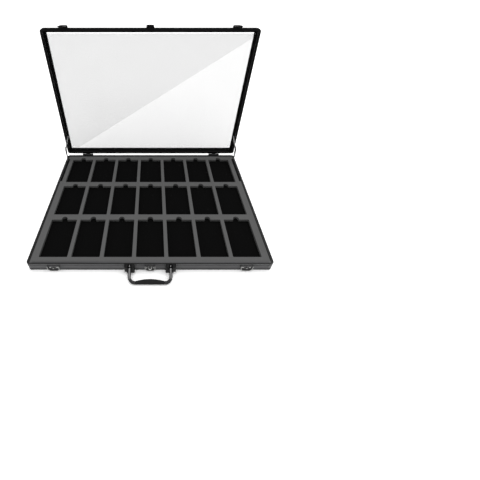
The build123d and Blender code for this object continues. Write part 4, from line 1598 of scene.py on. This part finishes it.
@dataclass
class Handle:
    """Bent bail with two hubs and a grip that swells toward the case."""

    sizes: CaseSizes
    reach: float = 37.0
    span: float = 121.0
    rest_deg: float = 15.0
    pivot_z: float = 16.0
    pivot_out: float = 7.0
    bar_w: float = 9.0
    bar_t: float = 7.5
    bar_round: float = 1.8
    bend_r: float = 17.0
    hub_r: float = 5.0
    hub_edge: float = 0.7
    hub_near: float = 0.2
    hub_steps: int = 40
    groove_w: float = 3.0
    groove_d: float = 0.9
    groove_lip: float = 0.5
    # Painted highlight along the middle of the arms: its width, soft edges, fade toward the bend and reach
    # past the pins.
    highlight_w: float = 4.6
    highlight_soft: float = 0.8
    highlight_fade: float = 8.0
    highlight_past_pins: float = 12.0
    grip_l: float = 84.0
    grip_t: float = 10.0
    grip_swell: float = 5.5
    grip_end: float = 1.8
    grip_edge: float = 1.2
    grip_steps: int = 48
    grip_power: float = 2.0 / 3.0
    bail_sharp_deg: float = 35.0
    grip_sharp_deg: float = 45.0

    @property
    def pivot_y(self) -> float:
        """Y of the handle's pins."""
        return self.sizes.front_y - self.pivot_out

    def turned(self, points: np.ndarray) -> np.ndarray:
        """Turn points from straight out to the rest angle about the handle's pins.

        Args:
            points: an array of points in millimetres.

        Returns:
            The turned points.
        """
        turn = math.radians(self.rest_deg)
        dy, dz = points[..., 1] - self.pivot_y, points[..., 2] - self.pivot_z
        result = points.copy()
        result[..., 1] = self.pivot_y + dy * math.cos(turn) - dz * math.sin(turn)
        result[..., 2] = self.pivot_z + dy * math.sin(turn) + dz * math.cos(turn)
        return result

    def bar_section(self) -> np.ndarray:
        """Section of an arm: a rounded rectangle with a shallow groove along both flat faces.

        Returns:
            Points as offsets across and up, counterclockwise.
        """
        half_t, r, lip = self.bar_t / 2, self.bar_round, self.groove_lip
        groove = self.groove_w / 2
        bottom = half_t - self.groove_d
        dip = np.array([[groove + lip, half_t], [groove, half_t - lip], [groove - lip, bottom]])
        dip = np.concatenate([dip, dip[::-1] * [-1.0, 1.0]])
        rows = []
        for index, (sx, sz) in enumerate(((1, 1), (-1, 1), (-1, -1), (1, -1))):
            angle = math.radians(90.0 * index) + quarter(5)
            centre = np.array([sx * (self.bar_w / 2 - r), sz * (half_t - r)])
            rows.append(centre + r * np.stack([np.cos(angle), np.sin(angle)], axis=1))
            if sx == sz:
                rows.append(dip * sx)
        return np.concatenate(rows)

    def arm(self, sign: int) -> Surface:
        """One arm: the section carried from the hub, round the bend, to the grip's end.

        Args:
            sign: -1 for the left arm, 1 for the right.

        Returns:
            The closed surface, straight out.
        """
        x, y_end, r = self.span / 2, self.pivot_y - self.reach, self.bend_r
        path = [(x, y, 1.0, 0.0) for y in np.linspace(self.pivot_y, y_end + r, 4)[:-1]]
        for a in quarter(14):
            out_x, out_y = math.cos(a), -math.sin(a)
            path.append((x - r + r * out_x, y_end + r + r * out_y, out_x, out_y))
        path.append((self.grip_l / 2, y_end, 0.0, -1.0))
        across, up = self.bar_section().T
        rows = [np.column_stack([sign * (px + nx * across), py + ny * across, self.pivot_z + up])
                for px, py, nx, ny in path]
        return Surface().grid(np.stack(rows), wrap_columns=True, caps=True)

    def hub(self, sign: int) -> Surface:
        """Round hub across an arm's end, with rounded rims.

        Args:
            sign: -1 for the left arm, 1 for the right.

        Returns:
            The closed surface.
        """
        half, r, edge, near = self.bar_w / 2, self.hub_r, self.hub_edge, self.hub_near
        rim = [(half - edge, r), (half - near, r - near), (half, r - edge), (half, 0.0)]
        profile = [(-along, radius) for along, radius in rim[::-1]] + rim
        turn = around(self.hub_steps)
        ring_y, ring_z, middle = np.cos(turn), np.sin(turn), sign * self.span / 2
        rows = [np.column_stack([np.full(len(turn), middle + along), self.pivot_y + radius * ring_y,
                                 self.pivot_z + radius * ring_z]) for along, radius in profile]
        return Surface().grid(np.stack(rows), wrap_columns=True)

    def grip(self) -> Surface:
        """Grip: superellipses along X whose case side swells as a parabola and whose ends close.

        The outer edge stays straight. Toward each end the section shrinks along a quarter
        circle over the length of grip_end.

        Returns:
            The closed surface, straight out.
        """
        half, end = self.grip_l / 2, self.grip_end
        tip = end * (1.0 - np.cos(np.arcsin(np.sin(quarter(5)))))
        straight = np.linspace(-half + end, half - end, 41)[1:-1]
        x = np.concatenate([-half + tip, straight, (half - tip)[::-1]])
        edge = np.clip((half - np.abs(x)) / end, 0.0, 1.0)
        drawn_in = self.grip_edge * (1.0 - np.sqrt(np.clip(1.0 - (1.0 - edge) ** 2, 0.0, 1.0)))
        outer = self.pivot_y - self.reach - self.bar_w / 2
        half_w = (self.bar_w + self.grip_swell * (1.0 - (x / half) ** 2)) / 2
        turn = around(self.grip_steps)
        ring = np.stack([np.cos(turn), np.sin(turn)])
        ring_y, ring_z = np.sign(ring) * np.abs(ring) ** self.grip_power
        y = (outer + half_w)[:, None] + (half_w - drawn_in)[:, None] * ring_y
        z = self.pivot_z + (self.grip_t / 2 - drawn_in)[:, None] * ring_z
        points = np.stack([np.repeat(x[:, None], len(turn), axis=1), y, z], axis=-1)
        return Surface().grid(points, wrap_columns=True, caps=True)

    def build(self) -> None:
        """Build the bail, with a painted highlight along the middle of its arms, and the grip."""
        bail = Surface()
        for sign in (-1, 1):
            for part in (self.arm(sign), self.hub(sign)):
                bail.add(np.concatenate(part.points), part.faces)
        half, bright = self.span / 2, self.highlight_w / 2
        bend_y = self.pivot_y - self.reach + self.bend_r * 0.4
        arms = Band(1, bend_y, self.pivot_y + self.highlight_past_pins, PAINTED_HIGHLIGHT, soft_mm=self.highlight_fade)
        # Painted highlight: a lighter stripe down the middle of each arm, fading out before the bend.
        highlight_band = Band(0, half - bright, half + bright, BAIL_PAINTED_HIGHLIGHT, 0.9, self.highlight_soft, True, arms)
        material = BAIL_ZINC.material([highlight_band])
        piece = bail.moved(self.turned).piece("handle_bail_bent", material, self.bail_sharp_deg)
        fit(piece, "handle", "handle_bail")
        grip, material = self.grip().moved(self.turned), GRIP_PLASTIC.material()
        piece = grip.piece("handle_grip_moulded", material, self.grip_sharp_deg)
        fit(piece, "handle", "handle_grip")


@dataclass(frozen=True)
class Lamp:
    """A distant soft lamp: where it stands as seen from the case, and how wide it looks."""

    name: str
    azimuth_deg: float
    elevation_deg: float
    width_deg: float
    power: float

    def build(self) -> None:
        """Add the lamp to the scene."""
        data = bpy.data.lights.new(self.name, "SUN")
        data.angle = math.radians(self.width_deg)
        data.energy = self.power
        tilt, turn = math.radians(90.0 - self.elevation_deg), math.radians(self.azimuth_deg)
        added(self.name, data).rotation_euler = (tilt, 0.0, turn)


@dataclass
class Studio:
    """White floor, soft lamps, pale surroundings and the camera."""

    sizes: CaseSizes
    focal_px: float = 273.76
    frame_px: float = 480.0
    middle_px: tuple = (152.12, 152.84)
    sensor_mm: float = 36.0
    camera_mm: tuple = (5.94, -691.45, 778.63)
    pitch_deg: float = 37.68
    view_limit_m: float = 50.0
    floor_half_mm: float = 9000.0
    floor_seen: float = 1.5
    floor_grey: float = 0.8
    sky: float = 0.72
    lamps: tuple = (Lamp("key_lamp", 150.0, 62.0, 50.0, 0.9), Lamp("fill_lamp", -25.0, 55.0, 60.0, 0.45))

    def camera(self) -> None:
        """Place the camera: a level pinhole whose middle is shifted off the picture's middle."""
        data = bpy.data.cameras.new("camera")
        data.sensor_width = self.sensor_mm
        data.lens = self.focal_px / self.frame_px * self.sensor_mm
        data.shift_x = (self.frame_px / 2 - self.middle_px[0]) / self.frame_px
        data.shift_y = (self.middle_px[1] - self.frame_px / 2) / self.frame_px
        data.clip_end = self.view_limit_m
        camera = added("camera", data)
        camera.rotation_euler = (math.radians(90.0 - self.pitch_deg), 0.0, 0.0)
        camera.location = self.sizes.centred(np.array(self.camera_mm)) * MM
        bpy.context.scene.camera = camera

    def floor(self) -> None:
        """Lay the floor: to the camera it is whiter than white, so only its deep shadows show."""
        reach = np.array([-self.floor_half_mm, self.floor_half_mm])
        x, y = np.meshgrid(reach, reach)
        coat = Coat("white_floor")
        direct = coat.ray("Is Camera Ray") + coat.ray("Is Glossy Ray") + coat.ray("Is Transmission Ray")
        level = direct.clamped() * (self.floor_seen - self.floor_grey) + self.floor_grey
        white = coat.node("ShaderNodeCombineColor", None, {0: level, 1: level, 2: level})
        paint = coat.node("ShaderNodeBsdfDiffuse", None, {"Color": white})
        coat.feed(coat.output.inputs[0], paint)
        coat.tree.nodes.remove(coat.shader)
        surface = Surface().grid(np.stack([x, y, np.zeros_like(x)], axis=-1))
        surface.piece("floor", coat.material)

    def world(self) -> None:
        """Surround the case: white to the camera, a little dimmer as a light."""
        world = bpy.data.worlds.new("surroundings")
        bpy.context.scene.world = world
        world.use_nodes = True
        graph = Graph(world.node_tree)
        background = graph.tree.nodes["Background"].inputs
        direct = graph.ray("Is Camera Ray") + graph.ray("Is Transmission Ray")
        graph.feed(background["Color"], (1.0, 1.0, 1.0))
        graph.feed(background["Strength"], direct * (1.0 - self.sky) + self.sky)

    def build(self) -> None:
        """Build the studio."""
        self.world()
        self.floor()
        for lamp in self.lamps:
            lamp.build()
        self.camera()
        bpy.context.scene.view_settings.view_transform = "Standard"


def main() -> None:
    """Build the studio and every sub-assembly."""
    logging.basicConfig(level=logging.INFO, format="%(name)s: %(message)s")
    sizes = CaseSizes()
    for assembly in (Studio(sizes), FoamLayers(sizes), Frames(sizes), Fittings(sizes), Handle(sizes)):
        assembly.build()


if __name__ == "__main__":
    main()
